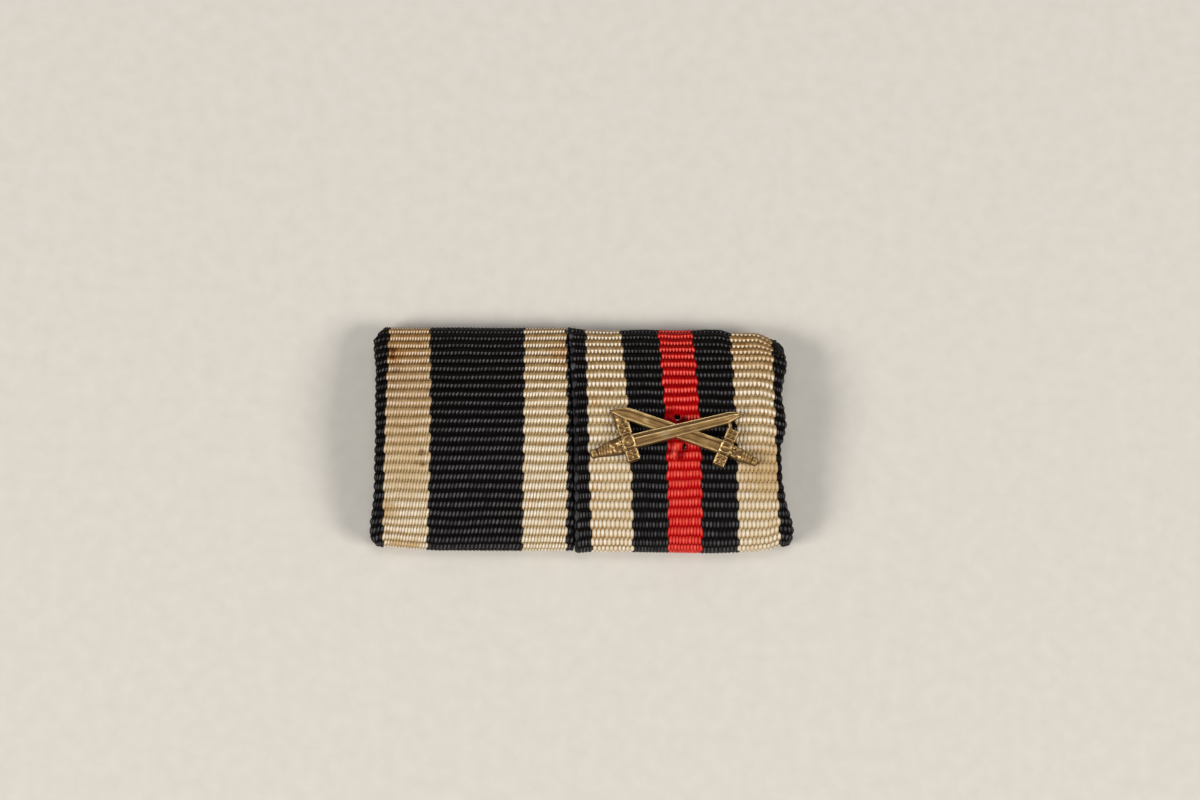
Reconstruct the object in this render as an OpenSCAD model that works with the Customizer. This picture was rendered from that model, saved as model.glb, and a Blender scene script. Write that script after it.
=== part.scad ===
// Two-place ribbon bar with crossed swords, lying face up.
// X runs along the bar, Y towards its top edge and Z up out of its face.
// The origin lies under the middle of the bar, on the surface that it rests on.

/* [Bar] */
// Height of the finished bar, over both wrapped edges
bar_h = 16.6; // [14:0.2:20]
// Radius of the bar's camber, at the middle of the plate
camber_r = 14.5; // [12:0.5:24]
// Thickness of the plate
plate_t = 0.6; // [0.4:0.05:1]
// How far the plate stops short of the ribbons' outer selvages
plate_inset = 0.9; // [0.7:0.1:2]
// Clearance between pieces that touch on the real bar
gap = 0.05; // [0.03:0.01:0.1]

/* [Ribbons] */
// Width of the left ribbon
left_w = 15; // [12:0.5:20]
// Width of the right ribbon
right_w = 15.3; // [12:0.5:20]
// How far the right ribbon laps over the left one
lap_w = 0.7; // [0.5:0.1:1.2]
// Lean of the left ribbon's stripes, in degrees to the right at the top
left_lean = 0.6; // [0:0.1:1]
// Lean of the right ribbon's stripes, in degrees to the left at the top
right_lean = 2.2; // [0.6:0.1:3]
// Lean of the seam between the ribbons, in degrees to the left at the top
seam_lean = 1.2; // [0:0.1:1.6]
// Thickness of the ribbon wall, rib and all
cloth_t = 1; // [1:0.05:1.4]
// Distance from one rib to the next
rib_pitch = 0.68; // [0.5:0.02:0.9]
// Depth of the groove between two ribs
rib_depth = 0.16; // [0.08:0.02:0.24]
// Clear way at the back between the turned-in ribbon ends
flap_gap = 6; // [5:0.2:7]

/* [Swords] */
// How far the crossing lies to the left of the right ribbon's middle
cross_shift = 0.45; // [0:0.05:1]
// Length of a sword from its pommel's end to its point
sword_len = 11.25; // [9:0.25:14]
// Width of a blade at its guard
blade_w = 0.95; // [0.7:0.05:1.1]
// Width of a blade where its point begins
blade_tip_w = 0.78; // [0.5:0.02:0.9]
// Length of the blade's point
point_len = 0.9; // [0.6:0.1:1.2]
// Height of the rear sword's blade over the back of the device
rear_blade_h = 0.5; // [0.4:0.05:0.6]
// Height of the front sword's blade over the back of the device
front_blade_h = 0.75; // [0.65:0.05:0.85]
// Depth of the grooves along a blade
fuller_depth = 0.12; // [0.06:0.02:0.2]
// Width of the raised rim along each edge of a blade
rim_w = 0.12; // [0.08:0.02:0.16]
// Length of a guard from end to end
guard_len = 2.8; // [2.4:0.1:3.2]
// Width of a guard's square end blocks
guard_w = 0.9; // [0.7:0.05:1.1]
// Height of a guard's end blocks over the back of the device
guard_h = 0.8; // [0.7:0.05:1]
// Thickness of a grip where it leaves the guard
grip_d = 0.92; // [0.8:0.02:1]
// Thickness of a grip at its pommel
pommel_d = 0.55; // [0.45:0.05:0.7]
// Diameter of the two hidden prongs
prong_d = 0.4; // [0.3:0.05:0.5]
// Distance between the two prongs
prong_pitch = 1; // [0.8:0.05:1.2]

/* [Holes] */
// Diameter of the pulled hole above the crossing
upper_hole_d = 0.55; // [0.3:0.05:0.8]
// Diameter of the pulled hole below the crossing
lower_hole_d = 0.45; // [0.3:0.05:0.8]
// Distance from the crown to either pulled hole, along the stripe
hole_reach = 1.12; // [1:0.02:1.4]
// How far the pulled holes lie to the left of the red stripe's middle
hole_shift = 0.2; // [0:0.05:0.5]

/* [Pin] */
// Length of the pin from the hinge's axis to the catch
pin_len = 20; // [14:1:24]
// Diameter of the needle
needle_d = 0.8; // [0.6:0.1:1]
// Width of the strip that the pin stands on
strip_w = 3; // [2.4:0.2:4]
// Thickness of that strip
strip_t = 0.4; // [0.3:0.05:0.5]
// Clear way between the needle and the strip
needle_way = 1; // [0.8:0.05:1.1]
// Thickness of the metal in the hinge's cheeks and in the catch
pin_metal_t = 0.4; // [0.3:0.05:0.5]

/* [Hidden] */

// Rounds: large arcs, small arcs
arc_n = 180;
round_n = 32;

// Distances from the middle of the plate to the ribbon's inner face, its middle and its rib crests
inner_d = plate_t / 2 + gap;
reach = inner_d + cloth_t;
middle_d = inner_d + cloth_t / 2;

// The camber is an arc about a line along X, and angles are measured from its crown
edge_angle = asin((bar_h / 2 - reach) / camber_r);
flap_angle = asin(flap_gap / 2 / (camber_r - middle_d));
centre_z = reach - camber_r * cos(edge_angle);
crown_z = centre_z + camber_r + reach;

// Lengths along the rib crests: crown to edge, round the edge, and back to the turned-in end
front_len = (camber_r + reach) * edge_angle * PI / 180;
edge_len = reach * PI;
flap_len = (camber_r - reach) * (edge_angle - flap_angle) * PI / 180;
half_len = front_len + edge_len + flap_len;

// A rib's section is an arc that leaves the groove's depth between neighbours
rib_r = (pow(rib_pitch / 2, 2) + pow(rib_depth, 2)) / (2 * rib_depth);
rib_steps = 4;
// Share of a rib's pitch by which the first rib lies above the crown
rib_start = 0.18;

// Places along X with no lean: both outer selvages, the seam and the hidden selvage under it
bar_len = left_w + right_w - lap_w;
left_x = -bar_len / 2;
right_x = bar_len / 2;
seam_x = right_x - right_w;
hidden_x = left_x + left_w;

black = [0.09, 0.09, 0.1];
cream = [0.85, 0.74, 0.54];
red = [0.72, 0.12, 0.11];
brass = [0.62, 0.5, 0.3];
steel = [0.62, 0.63, 0.64];
zinc = [0.5, 0.51, 0.52];

// Stripes from left to right: [right-hand border as a share of the ribbon's width, colour]
left_stripes = [[0.042, black], [0.259, cream], [0.71, black], [0.911, cream], [1, black]];
right_stripes = [
  [0.063, black], [0.256, cream], [0.431, black], [0.591, red], [0.761, black], [0.949, cream], [1, black]
];
red_stripe = 3;

// How far outlines reach up and down from the middle, as a share of bar_h: past both wrapped edges
past_edge = 0.52;

// Outlines of the selvages: [height as a share of bar_h, place as a share of the ribbon's width].
// The place is how far the selvage stands to the right of its straight leaning line.
left_selvage = [
  [-past_edge, 0.033], [-0.5, 0.02], [-0.485, -0.012], [-0.45, -0.03], [-0.4, -0.027],
  [-0.33, -0.015], [-0.25, -0.004], [0, -0.001], [0.2, -0.008], [0.3, -0.007], [0.4, -0.016],
  [0.45, -0.012], [0.48, 0.01], [0.5, 0.029], [past_edge, 0.035]
];
right_selvage = [
  [-past_edge, -0.03], [-0.5, -0.015], [-0.48, 0.008], [-0.45, 0.02], [-0.4, 0.015], [-0.35, 0],
  [-0.3, -0.013], [-0.25, -0.018], [-0.2, -0.036], [-0.1, -0.031], [-0.05, -0.025], [0, -0.007],
  [0.05, 0.005], [0.12, 0.002], [0.2, -0.011], [0.26, 0.002], [0.33, 0.022], [0.4, 0.02],
  [0.44, 0.012], [0.47, -0.008], [0.5, -0.04], [past_edge, -0.043]
];
seam_selvage = [
  [-past_edge, -0.025], [-0.4, -0.019], [-0.2, -0.013], [0, -0.007], [0.2, -0.006], [0.4, -0.004],
  [past_edge, -0.004]
];

// Swords: [tilt, distances from the crossing to the guard, to the pommel's end and to the point, all
// three as shares of sword_len, then the blade's height]. A tilt of 0 points the sword to the right.
swords = [
  [180 - 18.7, 0.34, 0.564, 0.436, rear_blade_h],
  [14.6, 0.306, 0.564, 0.436, front_blade_h]
];
// Width of the raised band along a blade's middle, as a share of the blade's width
band_share = 0.42;
// Length of a guard's square end blocks along the guard
block_len = 0.85;
// Width of a guard between its blocks, as a share of the blocks' width
waist_share = 0.68;
// How far a guard's waist lies below its blocks, and how far its lozenge boss stands above them
waist_drop = 0.15;
boss_rise = 0.06;
// Length of the boss along the guard
boss_len = 1;
// The cast neck between the rear sword's guard and the front sword's point
neck_w = 0.32;
neck_len = 0.85;
grip_rings = 5;
// How far a ring stands out of its grip
ring_rise = 0.05;
// Height of a grip's axis over the back of the device
grip_z = 0.27;
// How far a blade's point lies above the blade's middle line
point_rise = 0.1;

// Places of the swords and of the holes in the red stripe
cross_x = right_x - right_w / 2 - cross_shift;
red_mid_x = seam_x + right_w * (right_stripes[red_stripe - 1][0] + right_stripes[red_stripe][0]) / 2;
device_z = crown_z + gap;

// Heights of the pin on the back, from the strip down to the needle
strip_r = camber_r - plate_t / 2 - gap;
strip_z = centre_z + strip_r - strip_t;
needle_z = strip_z - needle_way - needle_d / 2;

// A point at radius r and angle a from the crown, on the bar's section with Y across and Z up
function at_angle(r, a) = [r * sin(a), r * cos(a)];

// The point at distance s along the rib crests from the crown, d away from the middle of the plate
function section_point(s, d) =
  let (
    side = s < 0 ? -1 : 1,
    t = abs(s),
    on_edge = edge_angle + (t - front_len) / reach * 180 / PI,
    on_flap = edge_angle - (t - front_len - edge_len) / (camber_r - reach) * 180 / PI,
    p = t <= front_len ? at_angle(camber_r + d, t / (camber_r + reach) * 180 / PI)
      : t <= front_len + edge_len ? at_angle(camber_r, edge_angle) + at_angle(d, on_edge)
      : at_angle(camber_r - d, on_flap)
  )
  [side * p[0], centre_z + p[1]];

// How far the surface lies below the rib crests at distance s
function groove(s) =
  let (ribs = s / rib_pitch - rib_start, off = (ribs - round(ribs)) * rib_pitch)
  rib_r - sqrt(rib_r * rib_r - off * off);

// A selvage's points from bottom to top: x is its straight place, lean its slope, table its outline
function selvage_line(x, lean, table, width) =
  [for (row = table) [x + row[1] * width + tan(lean) * row[0] * bar_h, row[0] * bar_h]];

// A straight border between stripes, from below the bar to above it
function border_line(x, lean) =
  [for (h = [-past_edge, past_edge]) [x + tan(lean) * h * bar_h, h * bar_h]];

function backwards(list) = [for (i = [len(list) - 1:-1:0]) list[i]];

function moved(line, dx) = [for (p = line) [p[0] + dx, p[1]]];

// The ribbon's section between two distances from the plate's middle, with ribs or without
module ribbon_section(from_d, to_d, ribbed) {
  steps = floor(half_len / rib_pitch);
  on_ribs = [for (i = [-steps * rib_steps:steps * rib_steps]) (rib_start + i / rib_steps) * rib_pitch];
  inside = [for (s = on_ribs) if (abs(s) < half_len - rib_pitch / rib_steps / 2) s];
  fine = concat(-half_len, inside, half_len);
  coarse = [for (i = [steps:-1:-steps]) i * half_len / steps];
  polygon(concat(
    [for (s = fine) section_point(s, to_d - (ribbed ? groove(s) : 0))],
    [for (s = coarse) section_point(s, from_d)]
  ));
}

// The ribbon's wall between a left and a right line seen from the front
module ribbon_slice(left_line, right_line, from_d = inner_d, to_d = reach, ribbed = true) {
  span = bar_len + 4 * lap_w;
  intersection() {
    rotate([90, 0, 90])
      translate([0, 0, -span / 2])
        linear_extrude(span)
          ribbon_section(from_d, to_d, ribbed);
    translate([0, 0, -cloth_t])
      linear_extrude(crown_z + 2 * cloth_t)
        polygon(concat(left_line, backwards(right_line)));
  }
}

// A round hole through the front of the right ribbon
module front_hole(d, x, y) {
  translate([x, y, centre_z + camber_r])
    cylinder(d = d, h = 2 * reach, $fn = round_n);
}

module bar_plate() {
  far = 2 * camber_r;
  color(zinc)
    rotate([90, 0, 90])
      translate([0, centre_z, left_x + plate_inset])
        linear_extrude(bar_len - 2 * plate_inset) {
          intersection() {
            difference() {
              circle(camber_r + plate_t / 2, $fn = arc_n);
              circle(camber_r - plate_t / 2, $fn = arc_n);
            }
            polygon([[0, 0], at_angle(far, -edge_angle), at_angle(far, edge_angle)]);
          }
          for (side = [-1, 1])
            translate(at_angle(camber_r, side * edge_angle))
              circle(d = plate_t, $fn = round_n);
        }
}

module ribbon_left() {
  seam = moved(selvage_line(seam_x, -seam_lean, seam_selvage, right_w), -gap);
  last = len(left_stripes) - 1;
  for (i = [0:last]) {
    from = i == 0
      ? selvage_line(left_x, left_lean, left_selvage, left_w)
      : border_line(left_x + left_stripes[i - 1][0] * left_w, left_lean);
    to = i == last ? seam : border_line(left_x + left_stripes[i][0] * left_w, left_lean);
    color(left_stripes[i][1])
      ribbon_slice(from, to);
  }
  // The selvage that runs on under the right ribbon, half as thick
  color(left_stripes[last][1])
    ribbon_slice(seam, border_line(hidden_x, -seam_lean), inner_d, middle_d - gap / 2, false);
}

module ribbon_right() {
  seam = selvage_line(seam_x, -seam_lean, seam_selvage, right_w);
  full_wall = border_line(hidden_x + gap, -seam_lean);
  last = len(right_stripes) - 1;
  // The selvage that laps over the left ribbon, half as thick
  color(right_stripes[0][1])
    ribbon_slice(seam, full_wall, middle_d + gap / 2);
  for (i = [0:last]) {
    from = i == 0 ? full_wall : border_line(seam_x + right_stripes[i - 1][0] * right_w, -right_lean);
    to = i == last
      ? selvage_line(right_x, -right_lean, right_selvage, right_w)
      : border_line(seam_x + right_stripes[i][0] * right_w, -right_lean);
    color(right_stripes[i][1])
      difference() {
        ribbon_slice(from, to);
        if (i == red_stripe)
          ribbon_holes();
      }
  }
}

// The holes in the red stripe: two pulled ones that show and two tight ones round the prongs
module ribbon_holes() {
  slant = tan(right_lean);
  front_hole(upper_hole_d, red_mid_x - hole_shift - slant * hole_reach, hole_reach);
  front_hole(lower_hole_d, red_mid_x - hole_shift + slant * hole_reach, -hole_reach);
  for (side = [-1, 1])
    front_hole(prong_d + 2 * gap, red_mid_x + side * prong_pitch / 2, 0);
}

// A blade's outline from the guard to its point, drawn in from its edges by inset
module blade_outline(guard_at, tip_at, inset = 0) {
  foot = blade_w / 2 - inset;
  shoulder = blade_tip_w / 2 - inset;
  polygon([
    [-guard_at, -foot], [tip_at - point_len, -shoulder], [tip_at - 2 * inset, point_rise],
    [tip_at - point_len, shoulder], [-guard_at, foot]
  ]);
}

// A blade with a raised rim along each edge and a raised band along its middle
module blade(guard_at, tip_at, height) {
  band = band_share / 2;
  linear_extrude(height - fuller_depth)
    blade_outline(guard_at, tip_at);
  linear_extrude(height)
    difference() {
      blade_outline(guard_at, tip_at);
      blade_outline(guard_at, tip_at, rim_w);
    }
  linear_extrude(height - fuller_depth / 3)
    polygon([
      [-guard_at, -band * blade_w], [tip_at - point_len, -band * blade_tip_w],
      [tip_at - point_len / 2, point_rise / 2], [tip_at - point_len, band * blade_tip_w],
      [-guard_at, band * blade_w]
    ]);
}

// A straight guard: two square blocks with a rim and a rosette, a narrower bar and a lozenge boss
module guard() {
  waist_w = guard_w * waist_share;
  translate([-waist_w / 2, -guard_len / 2, 0])
    cube([waist_w, guard_len, guard_h - waist_drop]);
  for (side = [-1, 1])
    translate([0, side * (guard_len - block_len) / 2, 0]) {
      difference() {
        translate([-guard_w / 2, -block_len / 2, 0])
          cube([guard_w, block_len, guard_h]);
        translate([-guard_w / 2 + rim_w, -block_len / 2 + rim_w, guard_h - fuller_depth])
          cube([guard_w - 2 * rim_w, block_len - 2 * rim_w, guard_h]);
      }
      cylinder(d = block_len / 3, h = guard_h, $fn = round_n);
    }
  linear_extrude(guard_h + boss_rise)
    polygon([[-guard_w / 2, 0], [0, -boss_len / 2], [guard_w / 2, 0], [0, boss_len / 2]]);
}

// A tapering ringed grip with a rounded pommel, flat at the back
module grip(from_at, to_at) {
  len_all = to_at - from_at - pommel_d / 2;
  step = len_all / grip_rings;
  function radius(s) = grip_d / 2 + (pommel_d - grip_d) / 2 * s / len_all;
  intersection() {
    translate([-from_at, 0, grip_z]) {
      rotate([0, -90, 0])
        rotate_extrude($fn = round_n)
          polygon(concat(
            [[0, 0], [radius(0) - ring_rise, 0]],
            [for (i = [0:grip_rings - 1], p = [[0.35, 0], [0.65, 0], [1, -ring_rise]])
              [radius((i + p[0]) * step) + p[1], (i + p[0]) * step]],
            [[0, len_all]]
          ));
      translate([-len_all, 0, 0])
        sphere(d = pommel_d, $fn = round_n);
    }
    translate([-to_at - grip_d, -grip_d, 0])
      cube([to_at - from_at + 2 * grip_d, 2 * grip_d, 2 * grip_d]);
  }
}

module sword(guard_at, pommel_at, tip_at, height) {
  blade(guard_at, tip_at, height);
  translate([-guard_at, 0, 0])
    guard();
  grip(guard_at + guard_w / 3, pommel_at);
}

module crossed_swords() {
  prong_len = device_z - (centre_z + camber_r + plate_t / 2) - gap;
  color(brass)
    translate([cross_x, 0, device_z]) {
      for (row = swords)
        rotate(row[0])
          mirror([0, row[0] > 90 ? 1 : 0, 0])
            sword(row[1] * sword_len, row[2] * sword_len, row[3] * sword_len, row[4]);
      rotate(swords[0][0])
        translate([-swords[0][1] * sword_len - neck_w / 2, -guard_len / 2 - neck_len, 0])
          cube([neck_w, neck_len + guard_w / 2, rear_blade_h]);
      for (side = [-1, 1])
        translate([red_mid_x - cross_x + side * prong_pitch / 2, 0, -prong_len])
          cylinder(d = prong_d, h = prong_len + rear_blade_h / 2, $fn = round_n);
    }
}

// The strip that the pin stands on, bent to the plate's camber
module pin_strip() {
  rotate([90, 0, 90])
    translate([0, centre_z, -pin_len / 2 - strip_w / 2])
      linear_extrude(pin_len + strip_w)
        intersection() {
          difference() {
            circle(strip_r, $fn = arc_n);
            circle(strip_r - strip_t, $fn = arc_n);
          }
          translate([-strip_w / 2, 0])
            square([strip_w, camber_r]);
        }
}

// Two cheeks and a barrel at the needle's left end
module pin_hinge() {
  barrel_d = needle_d + pin_metal_t;
  hinge_w = strip_w * 0.6;
  translate([-pin_len / 2, 0, needle_z]) {
    rotate([90, 0, 0])
      cylinder(d = barrel_d, h = hinge_w, center = true, $fn = round_n);
    for (side = [-1, 1])
      translate([-barrel_d / 2, side * (hinge_w - pin_metal_t) / 2 - pin_metal_t / 2, 0])
        cube([barrel_d, pin_metal_t, strip_z - needle_z + strip_t / 2]);
  }
}

// An open hook round the needle's right end, on a stem from the strip
module pin_catch() {
  inside_d = needle_d + 4 * gap;
  outside_d = inside_d + 2 * pin_metal_t;
  catch_w = 1.2;
  translate([pin_len / 2, 0, needle_z])
    rotate([90, 0, 90]) {
      difference() {
        cylinder(d = outside_d, h = catch_w, center = true, $fn = round_n);
        cylinder(d = inside_d, h = 2 * catch_w, center = true, $fn = round_n);
        translate([-outside_d, 0, -catch_w])
          cube([outside_d, outside_d, 2 * catch_w]);
      }
      translate([inside_d / 2, 0, -catch_w / 2])
        cube([pin_metal_t, strip_z - needle_z + strip_t / 2, catch_w]);
    }
}

module needle() {
  past_catch = 0.6;
  point = 2 * needle_d;
  translate([-pin_len / 2, 0, needle_z])
    rotate([0, 90, 0]) {
      cylinder(d = needle_d, h = pin_len - point + past_catch, $fn = round_n);
      translate([0, 0, pin_len - point + past_catch])
        cylinder(d1 = needle_d, d2 = needle_d / 8, h = point, $fn = round_n);
    }
}

module brooch_pin() {
  color(steel) {
    pin_strip();
    pin_hinge();
    pin_catch();
    needle();
  }
}

bar_plate();
ribbon_left();
ribbon_right();
crossed_swords();
brooch_pin();
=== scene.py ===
"""Looks of a cambered two-place ribbon bar with crossed swords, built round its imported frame.

Sizes and places are in millimetres, in the frame's own axes: X along the bar, Y towards its top
edge and Z up out of its face. They become metres only where a mesh or a light is made.
"""

import logging
import math
from dataclasses import dataclass, field
from enum import Enum

import bmesh
import bpy
import numpy as np
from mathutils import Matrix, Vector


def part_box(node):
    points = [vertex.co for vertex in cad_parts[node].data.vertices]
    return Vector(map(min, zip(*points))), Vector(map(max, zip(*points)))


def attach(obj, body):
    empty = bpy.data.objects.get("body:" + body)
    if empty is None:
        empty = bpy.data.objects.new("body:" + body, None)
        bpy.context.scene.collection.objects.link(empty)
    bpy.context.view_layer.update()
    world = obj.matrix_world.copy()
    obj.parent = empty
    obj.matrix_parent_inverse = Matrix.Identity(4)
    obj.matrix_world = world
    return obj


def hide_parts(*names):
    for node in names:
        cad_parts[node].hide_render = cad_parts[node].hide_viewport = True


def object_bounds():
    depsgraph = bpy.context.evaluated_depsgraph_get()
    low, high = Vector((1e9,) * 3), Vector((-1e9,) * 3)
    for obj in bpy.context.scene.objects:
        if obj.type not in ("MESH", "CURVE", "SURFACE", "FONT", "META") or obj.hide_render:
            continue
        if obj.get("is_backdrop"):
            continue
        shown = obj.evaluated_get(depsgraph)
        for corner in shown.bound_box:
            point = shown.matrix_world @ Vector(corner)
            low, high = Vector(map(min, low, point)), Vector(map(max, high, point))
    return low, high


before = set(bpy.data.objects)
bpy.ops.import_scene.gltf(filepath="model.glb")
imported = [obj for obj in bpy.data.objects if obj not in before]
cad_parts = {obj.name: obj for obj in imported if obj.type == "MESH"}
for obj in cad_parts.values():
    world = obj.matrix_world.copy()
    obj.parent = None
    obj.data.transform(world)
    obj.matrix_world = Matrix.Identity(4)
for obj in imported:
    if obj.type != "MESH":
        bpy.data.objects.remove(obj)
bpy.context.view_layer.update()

MM = 0.001
BODY = "root"
LOG = logging.getLogger("ribbon_bar")

Colour = tuple[float, float, float, float]
Points = np.ndarray
Faces = list[list[int]]
Pair = tuple[float, float]
Triple = tuple[float, float, float]
Table = tuple[Pair, ...]


def smoothstep(low: float, high: float, x: Points) -> Points:
    """Rises smoothly from 0 at low to 1 at high: 3t^2 - 2t^3 of the clipped share t.

    Args:
        low: where the rise starts.
        high: where the rise ends.
        x: values to weigh.

    Returns:
        The weights, in x's shape.
    """
    t = np.clip((x - low) / (high - low), 0, 1)
    return t * t * (3 - 2 * t)


def hump(x: Points, middle: float, width: float) -> Points:
    """A round hump of height 1 at the middle: exp(-((x - middle) / width)^2)."""
    return np.exp(-(((x - middle) / width) ** 2))


def read(table: Table, x: Points) -> Points:
    """The second column of a table at x in its first, straight from row to row."""
    return np.interp(x, *np.array(table).T)


def value_noise(x: Points, y: Points, seed: int) -> Points:
    """Smooth noise from -1 to 1: random values on a unit lattice, blended by smoothstep.

    Args:
        x: first coordinate, in lattice cells.
        y: second coordinate, in lattice cells.
        seed: picks the lattice.

    Returns:
        The noise, in the shape of x and y together.
    """
    size = 256
    lattice = np.random.default_rng(seed).uniform(-1, 1, (size, size))
    x, y = np.broadcast_arrays(x, y)
    column, row = np.floor(x).astype(int), np.floor(y).astype(int)
    across, up = smoothstep(0, 1, x - column), smoothstep(0, 1, y - row)

    def corner(dx: int, dy: int) -> Points:
        """The lattice's value at one corner of each point's cell."""
        return lattice[(column + dx) % size, (row + dy) % size]

    low = corner(0, 0) * (1 - across) + corner(1, 0) * across
    high = corner(0, 1) * (1 - across) + corner(1, 1) * across
    return low * (1 - up) + high * up


def grid_quads(rows: int, columns: int, wrap: bool) -> Points:
    """Quads between the points of a grid that is stored row by row.

    Args:
        rows: number of rows.
        columns: number of points in a row.
        wrap: whether the last column joins the first.

    Returns:
        One row of four vertex numbers for each quad, as (rows - 1, steps, 4).
    """
    steps = columns if wrap else columns - 1
    here = np.arange(steps)
    there = (here + 1) % columns
    base = (np.arange(rows - 1) * columns)[:, None]
    corners = (base + here, base + there, base + columns + there, base + columns + here)
    return np.stack(corners, axis=-1)


@dataclass
class Shell:
    """Points and faces of one closed surface, with values carried by its points."""

    points: Points
    faces: Faces
    values: dict[str, Points] = field(default_factory=dict)

    def moved(self, matrix: Points, shift: Points) -> "Shell":
        """The shell with each point turned by the matrix and then shifted."""
        return Shell(self.points @ np.asarray(matrix).T + shift, self.faces, self.values)

    @staticmethod
    def joined(shells: list["Shell"]) -> "Shell":
        """Makes one shell of several, their points one after another.

        Args:
            shells: the shells, with values of the same names.

        Returns:
            The one shell.
        """
        starts = np.cumsum([0] + [len(s.points) for s in shells])
        faces = [[int(start) + i for i in f] for s, start in zip(shells, starts) for f in s.faces]
        names = shells[0].values.keys()
        values = {n: np.concatenate([s.values[n] for s in shells]) for n in names}
        return Shell(np.concatenate([s.points for s in shells]), faces, values)


def tube(rings: Points) -> Shell:
    """A closed surface through rings of points, with one face over each end.

    Args:
        rings: (number of rings, points in a ring, 3).

    Returns:
        The shell: each ring joined to the next one, and both end rings filled. Its tone is 0.
    """
    count, around = rings.shape[:2]
    faces = grid_quads(count, around, True).reshape(-1, 4).tolist()
    faces.append(list(range(around))[::-1])
    faces.append([(count - 1) * around + i for i in range(around)])
    return Shell(rings.reshape(-1, 3), faces, {"tone": np.zeros(count * around)})


def footed(top: Points, tone: Points) -> Shell:
    """Closes a relief of stations downwards to height 0.

    Args:
        top: the relief's points (stations, columns, 3).
        tone: a value for each of them, or one for all.

    Returns:
        The closed shell, which carries the tone.
    """
    foot = top[:, [-1, 0]] * np.array([1, 1, 0])
    shell = tube(np.concatenate([top, foot], axis=1))
    shell.values["tone"] = np.pad(np.broadcast_to(tone, top.shape[:2]), ((0, 0), (0, 2))).ravel()
    return shell


def make_piece(name: str, shell: Shell, material: bpy.types.Material) -> bpy.types.Object:
    """Makes the object of a shell, with outward faces, and rides it on the bar's body.

    Args:
        name: the piece's name.
        shell: its surface, in millimetres; a value with two columns becomes a UV map.
        material: its finish.

    Returns:
        The object, at the origin, with its place in its mesh.
    """
    mesh = bpy.data.meshes.new(name)
    mesh.from_pydata((shell.points * MM).tolist(), [], shell.faces)
    work = bmesh.new()
    work.from_mesh(mesh)
    bmesh.ops.recalc_face_normals(work, faces=work.faces)
    work.to_mesh(mesh)
    work.free()
    corners = np.empty(len(mesh.loops), np.int32)
    mesh.loops.foreach_get("vertex_index", corners)
    for title, value in shell.values.items():
        if value.ndim == 2:
            layer = mesh.uv_layers.new(name=title)
            layer.data.foreach_set("uv", value[corners].astype(np.float32).ravel())
        else:
            attribute = mesh.attributes.new(title, "FLOAT", "POINT")
            attribute.data.foreach_set("value", value.astype(np.float32))
    mesh.polygons.foreach_set("use_smooth", np.ones(len(mesh.polygons), bool))
    mesh.materials.append(material)
    mesh.update()
    piece = bpy.data.objects.new(name, mesh)
    bpy.context.scene.collection.objects.link(piece)
    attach(piece, BODY)
    LOG.info("%s: %d points, %d faces", name, len(mesh.vertices), len(mesh.polygons))
    return piece


@dataclass(frozen=True)
class BarSection:
    """The bar's section across its length: a cambered plate with cloth wrapped round it."""

    bar_h: float = 16.6
    camber_r: float = 14.5
    plate_t: float = 0.6
    gap: float = 0.05
    cloth_t: float = 1.0
    flap_gap: float = 6.0

    @property
    def inner_d(self) -> float:
        """Distance from the plate's middle to the cloth's inner face."""
        return self.plate_t / 2 + self.gap

    @property
    def middle_d(self) -> float:
        """Distance from the plate's middle to the middle of the cloth."""
        return self.inner_d + self.cloth_t / 2

    @property
    def reach(self) -> float:
        """Distance from the plate's middle to the rib crests."""
        return self.inner_d + self.cloth_t

    @property
    def edge_angle(self) -> float:
        """Angle from the crown to the plate's edge."""
        return math.asin((self.bar_h / 2 - self.reach) / self.camber_r)

    @property
    def centre_z(self) -> float:
        """Height of the camber's centre line."""
        return self.reach - self.camber_r * math.cos(self.edge_angle)

    @property
    def crown_z(self) -> float:
        """Height of the rib crests at the crown."""
        return self.centre_z + self.camber_r + self.reach

    @property
    def front_len(self) -> float:
        """Length along the rib crests from the crown to the plate's edge."""
        return (self.camber_r + self.reach) * self.edge_angle

    @property
    def edge_len(self) -> float:
        """Length along the rib crests round the plate's edge."""
        return math.pi * self.reach

    @property
    def flap_len(self) -> float:
        """Length along the rib crests of a turned-in end."""
        flap_angle = math.asin(self.flap_gap / 2 / (self.camber_r - self.middle_d))
        return (self.camber_r - self.reach) * (self.edge_angle - flap_angle)

    @property
    def half_len(self) -> float:
        """Length along the rib crests from the crown to the cut end."""
        return self.front_len + self.edge_len + self.flap_len

    def place(self, s: Points, d: Points) -> tuple[Points, Points]:
        """Where a point of the cloth lies in the section.

        On the front the point is on an arc about the camber's centre, at the plate's edge on a
        half circle about that edge, and on the turned-in end on an arc about the centre again.

        Args:
            s: length along the rib crests from the crown, positive towards the top edge.
            d: distance from the plate's middle.

        Returns:
            Y and Z of each point.
        """
        t = np.abs(s)
        past_front, past_edge = t - self.front_len, t - self.front_len - self.edge_len
        on_front = t / (self.camber_r + self.reach)
        on_edge = self.edge_angle + past_front / self.reach
        on_flap = self.edge_angle - past_edge / (self.camber_r - self.reach)
        front, flap = past_front <= 0, past_edge > 0
        angle = np.where(front, on_front, np.where(flap, on_flap, self.edge_angle))
        turn = np.where(front, on_front, np.where(flap, on_flap + math.pi, on_edge))
        y = self.camber_r * np.sin(angle) + d * np.sin(turn)
        z = self.camber_r * np.cos(angle) + d * np.cos(turn)
        return np.sign(s) * y, self.centre_z + z

    def length_at(self, y: float) -> float:
        """Length along the rib crests from the crown to the front's point at height y."""
        radius = self.camber_r + self.reach
        return radius * math.asin(y / radius)


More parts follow.
